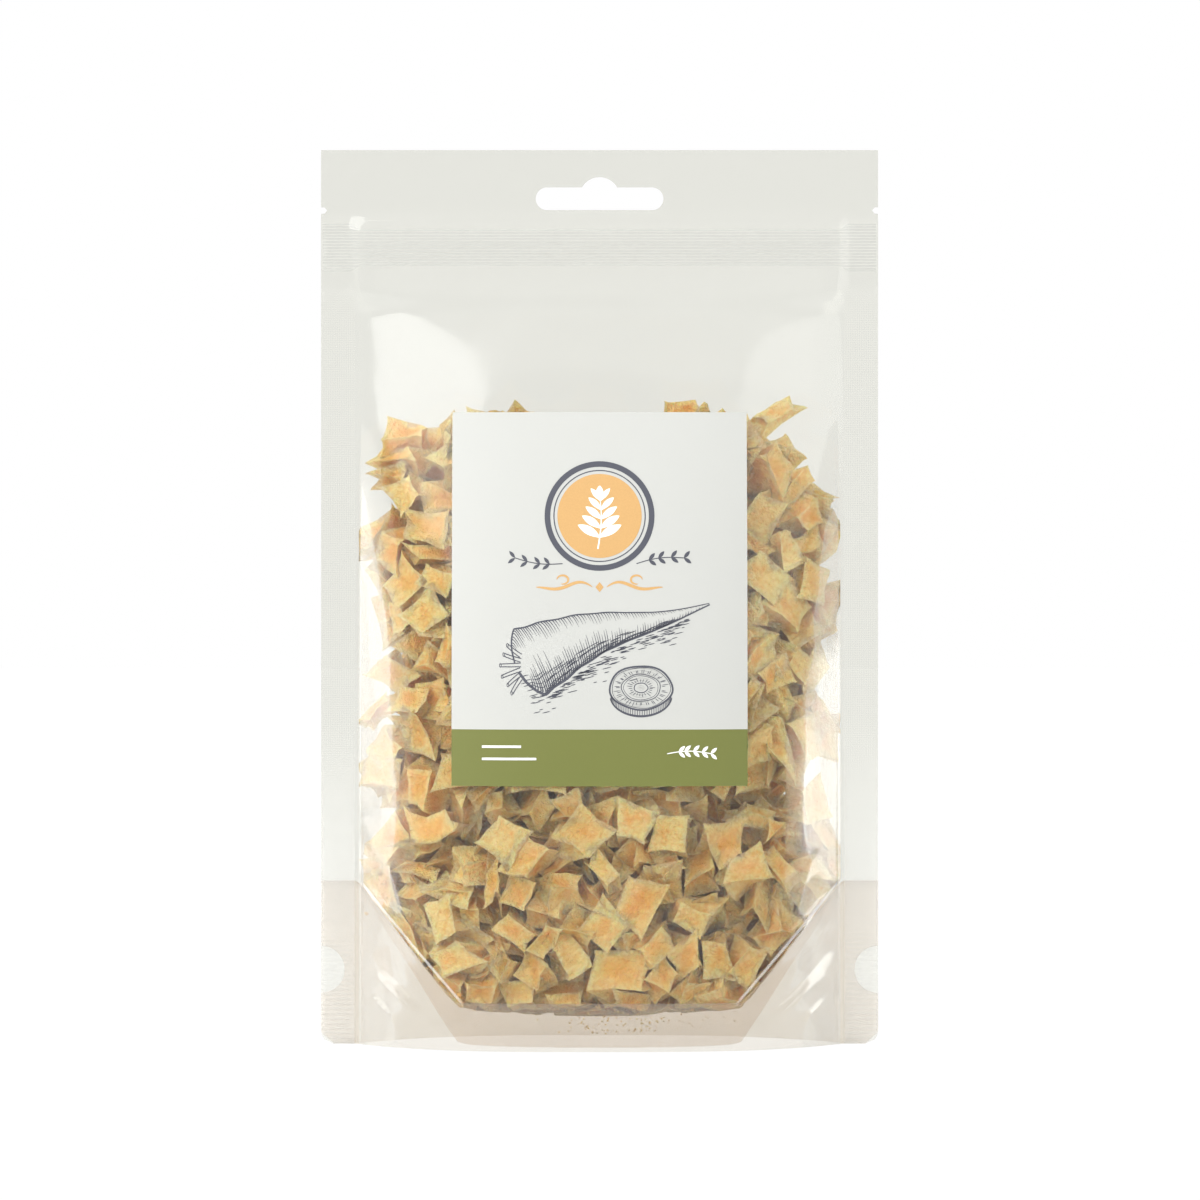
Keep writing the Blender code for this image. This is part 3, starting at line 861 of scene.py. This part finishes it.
def draw_crown(dark):
    """Cut leaf stalks on the shoulder, as bowed pairs of lines with a rim at their ends."""
    rng = np.random.default_rng(9)
    x0, z0 = root_point(0.012, 0.0)
    for k, lean in enumerate(np.linspace(-1, 1, 6)):
        s = np.linspace(0, 1, 10)
        reach = 4.8 - 1.5 * abs(lean) + rng.uniform(-0.4, 0.4)
        heading = math.pi + 0.2 - 0.75 * lean
        x = x0 + 0.4 + reach * s * math.cos(heading)
        z = z0 + 2.6 * lean + reach * s * math.sin(heading) + 0.5 * lean * s ** 2
        for side in (-0.42, 0.42):
            off = side * (1 - 0.25 * s)
            dark.stroke(x - off * math.sin(heading), z + off * math.cos(heading), 0.22)
        dark.ellipse(x[-1], z[-1], 0.2, 0.42, 0.16, np.linspace(0, 2 * np.pi, 15)[:-1])


def draw_ground(dark):
    """Loose hatching under the root, denser close to it."""
    rng = np.random.default_rng(12)
    for k in range(200):
        t = rng.uniform(0.0, 0.85)
        x, z = root_point(t, -1.0)
        drop = rng.exponential(1.1) + 0.3
        s = np.linspace(0, 1, 6)
        length = rng.uniform(0.8, 2.4)
        along = length * (s - 0.5)
        dark.stroke(x + 1.0 + along, z - drop + 0.25 * along, taper(6, 0.20))


def draw_slice(dark, pale):
    """A cut round lying in front: skin, growth rings, rays from the core and a thick lower edge."""
    rng = np.random.default_rng(21)
    turn = np.linspace(0, 2 * np.pi, 73)[:-1]
    x0, z0, wide, tall = 9.5, -20.5, 7.2, 5.0
    for ring in range(9):
        radius = wide * (ring + 0.5) / 9
        pale.ellipse(x0, z0, radius, radius * tall / wide, wide / 8.5, turn)
    for share, width in ((1.0, 0.42), (0.93, 0.14), (0.62, 0.20), (0.55, 0.12), (0.22, 0.22)):
        wobble = share * (1 + 0.02 * np.sin(5 * turn + 9 * share))
        dark.ellipse(x0, z0, wide * wobble, tall * wobble, width, turn)
    for k in range(70):
        a = 2 * np.pi * (k + rng.uniform(-0.3, 0.3)) / 70
        inner, low, high = (0.66, 0.78, 0.92) if k % 3 else (0.26, 0.38, 0.52)
        s = np.linspace(inner, rng.uniform(low, high), 5)
        dark.stroke(x0 + wide * s * np.cos(a), z0 + tall * s * np.sin(a), taper(5, 0.16))
    under = np.linspace(np.pi + 0.15, 2 * np.pi - 0.15, 40)
    dark.stroke(x0 + wide * np.cos(under), z0 - 1.5 + tall * np.sin(under), taper(40, 0.5))
    for k in range(34):
        a = np.pi + 0.3 + (np.pi - 0.6) * k / 33
        s = np.linspace(0, 1, 4)
        dark.stroke(x0 + wide * np.cos(a) + 0 * s, z0 + tall * np.sin(a) - 1.5 * s, 0.16 + 0 * s)


def draw_sprig(ink, x, z, length, heading, leaves=3, leaf=1.6):
    """A lying sprig: a bowed stem with pairs of leaves."""
    s = np.linspace(0, 1, 16)
    c, d = math.cos(heading), math.sin(heading)
    along, bow = length * s, 0.06 * length * np.sin(np.pi * s)
    stem_x, stem_z = x + along * c - bow * d, z + along * d + bow * c
    ink.stroke(stem_x, stem_z, 0.22 + 0 * s)
    for k in range(leaves):
        at = int(4 + 11 * k / max(leaves - 1, 1))
        for side in (-1, 1):
            angle = heading + side * 0.75
            t = np.linspace(0, 1, 9)
            x, z = stem_x[at] + 1.6 * leaf * t * math.cos(angle), stem_z[at] + 1.6 * leaf * t * math.sin(angle)
            ink.stroke(x, z, 0.62 * leaf * np.sin(np.pi * t) ** 0.8 + 0.04)


def draw_ornaments(dark, tan, pale):
    """Sprigs beside the badge, a tan flourish under it, and pale marks on the green band."""
    for side in (-1, 1):
        draw_sprig(dark, 8.5 * side, 8.0, 11.0 * side, 0.12 * side, leaves=4, leaf=1.3 * side)
        s = np.linspace(0, 1, 40)
        tan.stroke(side * (1.6 + 13.0 * s), 2.6 + 1.5 * np.sin(2 * np.pi * s) * (1 - s), taper(40, 0.75))
        turn = np.linspace(0, 1.6 * np.pi, 24)
        tan.stroke(side * (8.5 + 1.3 * np.cos(turn)), 4.3 + 1.0 * np.sin(turn), taper(24, 0.5))
    diamond = np.linspace(0, 2 * np.pi, 5)[:-1]
    tan.stroke(0.5 * np.cos(diamond), 2.6 + 0.7 * np.sin(diamond), 0.9, closed=True)
    s = np.linspace(0, 1, 12)
    pale.stroke(-27 + 9.0 * s, -34.0 + 0 * s, 0.55)
    pale.stroke(-27 + 12.5 * s, -36.8 + 0 * s, 0.55)
    draw_sprig(pale, 15.5, -35.6, 10.0, 0.0, leaves=5, leaf=1.2)


# %% Lay the print
dark_print = Print("print_dark", DARK_INK, 0.03)
tan_print = Print("print_tan", TAN_INK, 0.03)
pale_print = Print("print_pale", PALE_INK, 0.07)
PALE_LAYER = Print("print_under_slice", LABEL_PAPER, 0.015)
draw_badge(dark_print, tan_print, pale_print)
draw_root(dark_print)
draw_crown(dark_print)
draw_ground(dark_print)
draw_slice(dark_print, PALE_LAYER)
draw_ornaments(dark_print, tan_print, pale_print)
for prints in (PALE_LAYER, dark_print, tan_print, pale_print):
    prints.lay()


# %% [markdown]
# ## The pieces of parsnip
#
# A cube of parsnip shrinks as it dries: its faces sink, its edges bow in, and its corners stay
# out as points. One cube with a small grid on each face is reshaped for every piece by a few
# random numbers. Hundreds of pieces then have to lie in the pouch as if poured in.

# %% Shape of one piece
def cube_grid(line):
    """Unit cube whose faces all carry the same grid lines, with shared points on its edges."""
    cells = len(line) - 1
    a, b = np.meshgrid(line, line, indexing="ij")
    one = np.ones_like(a)
    sheets = []
    for axis in range(3):
        for sign in (-1, 1):
            parts = [None, None, None]
            parts[axis], parts[(axis + 1) % 3], parts[(axis + 2) % 3] = sign * one, a, b
            sheets.append((np.stack(parts, -1).reshape(-1, 3), sign))
    quads = grid_quads(cells + 1, cells + 1)
    faces = np.concatenate([(quads if sign < 0 else quads[:, ::-1]) + k * (cells + 1) ** 2
                            for k, (_, sign) in enumerate(sheets)])
    points = np.concatenate([sheet for sheet, _ in sheets])
    unique, index = np.unique(np.round(points * 1e6).astype(int), axis=0, return_inverse=True)
    return unique / 1e6, index.reshape(-1)[faces]


CUBE, CUBE_FACES = cube_grid(np.array([-1.0, -0.72, 0.0, 0.72, 1.0]))


def dried_shapes(half, seed):
    """Points of each piece, (count, points, 3). Along every axis the cube's coordinate times the
    half size is drawn in by `bow` along the edges and `sink` in the middle of the faces; corners
    are moved at random, the piece is bent a little, and small waves roughen it."""
    rng = np.random.default_rng(seed)
    count = len(half)
    twist = rng.normal(0, 0.28, (count, 1)) * CUBE[None, :, 2]
    flare = 1 + rng.uniform(-0.28, 0.12, (count, 1)) * CUBE[None, :, 2]
    c = np.repeat(CUBE[None], count, 0)
    away = 1 - c ** 2
    points = np.empty((count, len(CUBE), 3))
    for axis in range(3):
        j, k = (axis + 1) % 3, (axis + 2) % 3
        bow = rng.uniform(0.02, 0.16, (count, 1))
        upper, lower = rng.uniform(0.1, 0.75, (count, 1)), rng.uniform(0.1, 0.75, (count, 1))
        sink = np.where(c[..., axis] > 0, upper, lower)
        inward = bow * (away[..., j] + away[..., k]) + sink * away[..., j] * away[..., k]
        points[..., axis] = c[..., axis] * (1 - np.clip(inward, 0, 0.7))
    corner = rng.uniform(-0.42, 0.42, (count, 8, 3))
    for index in range(8):
        sign = np.array([(index >> bit & 1) * 2 - 1 for bit in range(3)])
        weight = np.prod((1 + sign * c) / 2, axis=-1)
        points = points + weight[..., None] * corner[:, index, None, :]
    x, y = points[..., 0] * flare, points[..., 1] * flare
    points[..., 0] = x * np.cos(twist) - y * np.sin(twist)
    points[..., 1] = x * np.sin(twist) + y * np.cos(twist)
    points = points * half[:, None, :]
    curl = rng.normal(0, 30.0, (count, 1))
    points[..., 2] += curl * (points[..., 0] ** 2 - (half[:, :1] * 0.6) ** 2)
    phase = rng.uniform(0, 6.3, (count, 1, 3))
    points = points + 0.30 * MM * np.sin(points[..., [1, 2, 0]] / (0.8 * MM) + phase)
    return points


# %% [markdown]
# To pack them, each piece is a cluster of small balls that keeps its shape. In every round the
# balls drift down a little, overlapping balls push each other apart, balls that cross the film
# are moved back along its normal, and each cluster is made rigid again by the closest rotation.
# The balls grow during the first rounds, so that a loose cloud becomes a tight, even filling.

# %% Packing: neighbours, walls and rigid turns
def close_pairs(points, reach):
    """Pairs of points in the same or touching cells of a grid whose cells are `reach` wide."""
    cell = np.floor(points / reach).astype(np.int64)
    cell -= cell.min(0) - 1
    span = cell.max(0) + 2
    key = (cell[:, 0] * span[1] + cell[:, 1]) * span[2] + cell[:, 2]
    order = np.argsort(key, kind="stable")
    ranked = key[order]
    near = (-1, 0, 1)
    steps = [((i * span[1]) + j) * span[2] + k for i in near for j in near for k in near]
    firsts, seconds = [], []
    for step in (s for s in steps if s >= 0):
        low = np.searchsorted(ranked, key + step, "left")
        high = np.searchsorted(ranked, key + step, "right")
        many = high - low
        first = np.repeat(np.arange(len(points)), many)
        start = np.repeat(low - np.concatenate([[0], np.cumsum(many)[:-1]]), many)
        second = order[start + np.arange(len(first))]
        keep = first < second if step == 0 else slice(None)
        firsts.append(first[keep])
        seconds.append(second[keep])
    return np.concatenate(firsts), np.concatenate(seconds)


def push_apart(points, radius, first, second):
    """Every overlapping pair moves apart along its line, half each, averaged for each ball."""
    line = points[first] - points[second]
    length = np.sqrt((line ** 2).sum(1)) + 1e-9
    depth = radius[first] + radius[second] - length
    hit = depth > 0
    move = (0.5 * depth[hit] / length[hit])[:, None] * line[hit]
    ends = np.concatenate([first[hit], second[hit]])
    moves = np.concatenate([move, -move])
    count = np.maximum(np.bincount(ends, minlength=len(points)), 1)[:, None]
    total = np.stack([np.bincount(ends, moves[:, a], len(points)) for a in range(3)], -1)
    return points + 1.3 * total / count, depth[hit]


def bed_height(x, across):
    """Lowest place for the filling: the floor, or a shallower curve under its front and back."""
    stiff = 5 * MM * np.clip(1 - (np.abs(x) / INNER) ** 2, 0, 1)
    return np.maximum(floor_height(x, across), floor_edge(x) - stiff * (1 - across ** 2))


def keep_inside(points, radius, top):
    """Balls beyond a web move back along its normal, and those below the floor or above the
    lid move straight up or down."""
    clear, e = 0.7 * MM, 0.05 * MM
    x, y, z = points.T
    wall = web_depth(x, z) - clear
    slope_x = (web_depth(x + e, z) - web_depth(x - e, z)) / (2 * e)
    slope_z = (web_depth(x, z + e) - web_depth(x, z - e)) / (2 * e)
    steep = np.sqrt(1 + slope_x ** 2 + slope_z ** 2)
    side = np.where(y >= 0, 1.0, -1.0)
    short = np.minimum((wall - np.abs(y)) / steep - radius, 0) / steep
    points = points + np.stack([-slope_x * short, side * short, -slope_z * short], -1)
    x, y, z = points.T
    half_floor = np.maximum(web_depth(x, floor_edge(x)), 1 * MM)
    ground = bed_height(x, np.clip(y / half_floor, -1, 1)) + 0.5 * MM + radius
    points[:, 2] = np.maximum(np.minimum(z, np.maximum(top(x) - radius, ground)), ground)
    return points


def rigid(points, rest):
    """Closest rotation and place of each cluster's rest pattern, by singular values."""
    centre = points.mean(1)
    cross = np.einsum("nki,nkj->nij", points - centre[:, None], rest)
    u, _, v = np.linalg.svd(cross)
    u[:, :, 2] *= np.sign(np.linalg.det(u @ v))[:, None]
    return u @ v, centre


# %% Packing: pour and settle
PIECES = 920
ROUNDS = 240


def piece_sizes(rng):
    """Full sizes: most are blocks, some are thin flakes and some are slivers."""
    kind = rng.uniform(0, 1, PIECES)[:, None]
    block = rng.uniform([7.0, 6.0, 4.6], [10.6, 8.8, 6.8], (PIECES, 3))
    flake = rng.uniform([7.5, 6.5, 2.2], [11.0, 9.5, 3.6], (PIECES, 3))
    sliver = rng.uniform([7.0, 2.8, 2.2], [11.0, 5.0, 3.6], (PIECES, 3))
    return np.where(kind < 0.62, block, np.where(kind < 0.85, flake, sliver)) * MM


def fill_top(x):
    """Level of the filling: a little higher towards +x."""
    return 150.5 * MM + 0.085 * x


def scatter(rng):
    """Start places spread evenly through the pouch."""
    spots = np.empty((0, 3))
    while len(spots) < PIECES:
        spot = rng.uniform([-55 * MM, -21 * MM, 6 * MM], [55 * MM, 21 * MM, 155 * MM], (PIECES, 3))
        x, y, z = spot.T
        wall = web_depth(x, z)
        ground = bed_height(x, np.clip(y / np.maximum(wall, 1 * MM), -1, 1))
        fits = (np.abs(y) < wall - 2.2 * MM) & (z > ground + 3.0 * MM) & (z < fill_top(x) - 2 * MM)
        spots = np.concatenate([spots, spot[fits]])
    return spots[:PIECES]


def turns(rng, spots):
    """Start rotations: random, but near a web with one face roughly along the film."""
    matrix, _ = np.linalg.qr(rng.normal(size=(PIECES, 3, 3)))
    matrix *= np.sign(np.linalg.det(matrix))[:, None, None]
    angle = rng.uniform(0, 2 * np.pi, PIECES)
    c, s, o, i = np.cos(angle), np.sin(angle), 0 * angle, 0 * angle + 1
    flat = np.stack([np.stack([c, -s, o], -1), np.stack([o, o, i], -1), np.stack([s, c, o], -1)], 1)
    tilt, _ = np.linalg.qr(np.eye(3) + rng.normal(0, 0.40, (PIECES, 3, 3)))
    tilt *= np.sign(np.einsum("nii->ni", tilt))[:, None, :]
    flat = tilt @ flat
    flat[:, :, 2] *= np.sign(np.linalg.det(flat))[:, None]
    near = (web_depth(spots[:, 0], spots[:, 2]) - np.abs(spots[:, 1]) < 8 * MM)[:, None, None]
    return np.where(near, flat, matrix)


def pour(seed=3):
    """Size, rotation and centre of every piece after settling."""
    rng = np.random.default_rng(seed)
    size = piece_sizes(rng)
    ball = np.minimum(1.9 * MM, 0.46 * size.min(1))
    marks = np.array([[a, b, c] for a in (-1, 0, 1) for b in (-1, 0, 1) for c in (-1, 0, 1)
                      if abs(a) + abs(b) + abs(c) in (1, 3)]) / 2
    rest = marks[None] * np.maximum(size - 2 * ball[:, None], 0)[:, None]
    spots = scatter(rng)
    points = spots[:, None] + np.einsum("nij,nkj->nki", turns(rng, spots), rest)
    owner = np.repeat(np.arange(PIECES), len(marks))
    radius = ball[owner]
    drift = np.array([0.0005, 0.0, -0.018]) * MM
    for step in range(ROUNDS):
        grown = min(1.0, 0.5 + 0.5 * step / (0.35 * ROUNDS))
        lid = fill_top if step < 0.8 * ROUNDS else (lambda x: 1 + 0 * x)
        flat = (points + drift).reshape(-1, 3)
        if step % 3 == 0:
            first, second = close_pairs(flat, 2 * 1.9 * MM * grown + 1.2 * MM)
            other = owner[first] != owner[second]
            first, second = first[other], second[other]
        for _ in range(3):
            flat, depth = push_apart(flat, radius * grown, first, second)
            flat = keep_inside(flat, radius * grown, lid)
            turn, centre = rigid(flat.reshape(points.shape), rest)
            flat = (centre[:, None] + grown * np.einsum("nij,nkj->nki", turn, rest)).reshape(-1, 3)
        points = flat.reshape(points.shape)
    overlap, highest = float(depth.mean()) / MM, float(centre[:, 2].max()) / MM
    print("mean overlap in mm:", round(overlap, 3), "top:", round(highest, 1))
    return size, turn, centre


SIZES, TURNS, CENTRES = pour()


# %% [markdown]
# Now every piece takes its shape to its place. A point that would still poke through the film
# is brought back to just inside it, as the film presses on the piece there.

# %% Place the pieces
def press_inside(points, clear=0.55 * MM):
    """Clip depth and height of points to the room inside the webs and above the floor."""
    x, y, z = points[..., 0], points[..., 1], points[..., 2]
    room = np.maximum(web_depth(x, z) - clear, 0.05 * MM)
    y = np.clip(y, -room, room)
    half_floor = np.maximum(web_depth(x, floor_edge(x)), 1 * MM)
    ground = bed_height(x, np.clip(y / half_floor, -1, 1)) + 0.5 * MM
    return np.stack([np.clip(x, -INNER + 0.4 * MM, INNER - 0.4 * MM), y, np.maximum(z, ground)], -1)


def add_attribute(mesh, name, kind, values):
    """Store one value for each point."""
    layer = mesh.attributes.new(name, kind, "POINT")
    field = "vector" if kind == "FLOAT_VECTOR" else "value"
    layer.data.foreach_set(field, np.ravel(values).astype(np.float32))


def make_pieces(name, chosen, *nodes):
    """One object with the chosen pieces, and the attributes that colour them."""
    local = dried_shapes(SIZES / 2 * 1.12, 17)[chosen]
    world = CENTRES[chosen][:, None] + np.einsum("nij,nkj->nki", TURNS[chosen], local)
    world = press_inside(world)
    count, per = world.shape[:2]
    faces = (CUBE_FACES[None] + per * np.arange(count)[:, None, None]).reshape(-1, 4)
    piece = mesh_piece(name, world, faces)
    rng = np.random.default_rng(31)
    tone = rng.uniform(0, 1, PIECES)[chosen]
    # rim drives the painted edge highlight and the painted shade in the face middles of the parsnip material.
    rim = np.sort(np.abs(CUBE), axis=1)[:, 1]
    add_attribute(piece.data, "tone", "FLOAT", np.repeat(tone, per))
    add_attribute(piece.data, "rim", "FLOAT", np.tile(rim, count))
    apart = local + (np.asarray(chosen) * 0.02)[:, None, None]
    add_attribute(piece.data, "local", "FLOAT_VECTOR", apart)
    piece.data.set_sharp_from_angle(angle=math.radians(40))
    finish_piece(piece, PARSNIP, "dried_parsnip", *nodes)


ORDER = np.argsort(CENTRES[:, 2])
QUARTERS = np.array_split(ORDER, 4)
make_pieces("pieces_foot", QUARTERS[0], "parsnip_heap")
make_pieces("pieces_lower", QUARTERS[1], "loose_piece_1", "loose_piece_2")
make_pieces("pieces_upper", QUARTERS[2], "loose_piece_3", "loose_piece_4")
make_pieces("pieces_top", QUARTERS[3], "loose_piece_5", "loose_piece_6", "loose_piece_7")


# %% [markdown]
# Dry pieces shed crumbs. Powder gathers on the front slope of the floor, and single crumbs have
# slipped between the film's layers in the lower corners. Each is a small lump with few faces.

# %% Crumbs and powder
LUMP, LUMP_FACES = cube_grid(np.array([-1.0, 0.0, 1.0]))


def make_crumbs(name, places, radii, seed, tone):
    """Lumps: a cube's grid pushed half-way to a ball, with random corners, turned at random."""
    rng = np.random.default_rng(seed)
    count, per = len(places), len(LUMP)
    ball = LUMP / np.linalg.norm(LUMP, axis=1, keepdims=True)
    shape = (0.5 * LUMP + 0.5 * ball)[None] * rng.uniform(0.75, 1.25, (count, per, 1))
    turn, _ = np.linalg.qr(rng.normal(size=(count, 3, 3)))
    turn *= np.sign(np.linalg.det(turn))[:, None, None]
    local = shape * rng.uniform(0.6, 1.0, (count, 1, 3)) * np.reshape(radii, (-1, 1, 1))
    points = np.asarray(places)[:, None] + np.einsum("nij,nkj->nki", turn, local)
    faces = (LUMP_FACES[None] + per * np.arange(count)[:, None, None]).reshape(-1, 4)
    piece = mesh_piece(name, points, faces)
    add_attribute(piece.data, "tone", "FLOAT", np.repeat(rng.uniform(*tone, count), per))
    # With rim 0 everywhere, a crumb gets the painted hollow shade over its whole surface and no painted edge
    # highlight.
    add_attribute(piece.data, "rim", "FLOAT", np.zeros(count * per))
    apart = local + 0.01 * np.arange(count)[:, None, None]
    add_attribute(piece.data, "local", "FLOAT_VECTOR", apart)
    finish_piece(piece, PARSNIP, "dried_parsnip")


def powder_places(count, seed):
    """Places just above the front slope of the floor, denser to the right of the middle."""
    rng = np.random.default_rng(seed)
    x = rng.normal(7 * MM, 9 * MM, count)
    across = -rng.uniform(0.72, 0.97, count)
    half = web_depth(x, floor_edge(x)) - CAD_FILM - GAP
    return np.stack([x, half * across, floor_height(x, across) + 0.35 * MM], -1)


GRAINS = 130
grains = powder_places(GRAINS, 51)
grain_radii = np.random.default_rng(52).uniform(0.10, 0.28, GRAINS) * MM
make_crumbs("powder", grains, grain_radii, 53, (0.0, 0.3))
spots = np.array([[-54.3, 30.4], [-32.3, 12.6], [-50.2, 37.9], [51.5, 36.6]]) * MM
spot_y = -(web_depth(spots[:, 0], spots[:, 1]) - CAD_FILM - GAP - 0.7 * MM)
crumb_places = np.stack([spots[:, 0], spot_y, spots[:, 1]], -1)
make_crumbs("crumbs", crumb_places, np.array([0.5, 0.9, 0.6, 0.5]) * MM, 54, (0.8, 1.0))


# %% [markdown]
# ## Floor and light
#
# The floor and the background are plain white. For the camera the floor shows mostly its own
# even white, with a faint shadow, and for every other ray it is ordinary pale card. Two tall
# soft boxes stand at the sides, and the sloping film mirrors them as pale bands, as in a studio.

# %% Floor
def make_floor():
    n = Nodes("floor_card")
    card = n.add("BsdfDiffuse", Color=(0.80, 0.80, 0.80, 1.0))
    own = n.add("Emission", Color=(1.0, 1.0, 1.0, 1.0), Strength=1.03)
    seen = n.add("MixShader", _0=0.96, _1=card.outputs[0], _2=own.outputs[0])
    camera_ray = n.add("LightPath").outputs["Is Camera Ray"]
    material = n.finish(n.add("MixShader", _0=camera_ray, _1=card.outputs[0], _2=seen.outputs[0]))
    reach = 6.0
    corners = [(-reach, -reach, 0), (reach, -reach, 0), (reach, reach, 0), (-reach, reach, 0)]
    floor = mesh_piece("floor", corners, [(0, 1, 2, 3)], smooth=False)
    floor.location.z = -0.05 * MM
    floor.data.materials.append(material)


def make_world(front, back):
    """White for the camera. For everything else a bright backdrop and a dim room in front."""
    world = bpy.data.worlds.new("studio")
    world.use_nodes = True
    tree = world.node_tree
    background = tree.nodes["Background"]
    background.inputs["Color"].default_value = (1, 1, 1, 1)
    path = tree.nodes.new("ShaderNodeLightPath")
    strength = tree.nodes.new("ShaderNodeMapRange")
    direction = tree.nodes.new("ShaderNodeTexCoord")
    axes = tree.nodes.new("ShaderNodeSeparateXYZ")
    depth = tree.nodes.new("ShaderNodeMapRange")
    depth.interpolation_type = "SMOOTHSTEP"
    limits = {"From Min": -0.55, "From Max": 0.60, "To Min": front, "To Max": back}
    for socket, value in limits.items():
        depth.inputs[socket].default_value = value
    tree.links.new(direction.outputs["Generated"], axes.inputs[0])
    tree.links.new(axes.outputs["Y"], depth.inputs["Value"])
    tree.links.new(depth.outputs["Result"], strength.inputs["To Min"])
    strength.inputs["To Max"].default_value = 1.0
    tree.links.new(path.outputs["Is Camera Ray"], strength.inputs["Value"])
    tree.links.new(strength.outputs["Result"], background.inputs["Strength"])
    bpy.context.scene.world = world


def soft_box(name, place, aim, width, height, radiance):
    """Rectangular light whose surface has the given brightness, pointing at a place."""
    data = bpy.data.lights.new(name, "AREA")
    data.shape = "RECTANGLE"
    data.size, data.size_y = width, height
    data.energy = radiance * math.pi * width * height
    lamp = bpy.data.objects.new(name, data)
    lamp.location = place
    lamp.rotation_mode = "QUATERNION"
    lamp.rotation_quaternion = (Vector(aim) - Vector(place)).to_track_quat("-Z", "Y")
    lamp.visible_camera = False
    bpy.context.scene.collection.objects.link(lamp)


make_floor()
make_world(0.65, 1.20)
MIDDLE = (0, 0, 0.10)
soft_box("key_left", (-0.85, -0.95, 0.95), MIDDLE, 1.3, 1.3, 4.4)
soft_box("fill_right", (0.95, -0.95, 0.70), MIDDLE, 1.1, 1.1, 1.6)
soft_box("side_left", (-0.79, -0.10, 0.175), (0, -0.02, 0.175), 0.49, 0.30, 1.4)
soft_box("side_right", (0.79, -0.10, 0.045), (0, -0.02, 0.045), 0.49, 0.09, 2.2)
scene = bpy.context.scene
scene.view_settings.view_transform = "Standard"
scene.cycles.transparent_max_bounces = 32
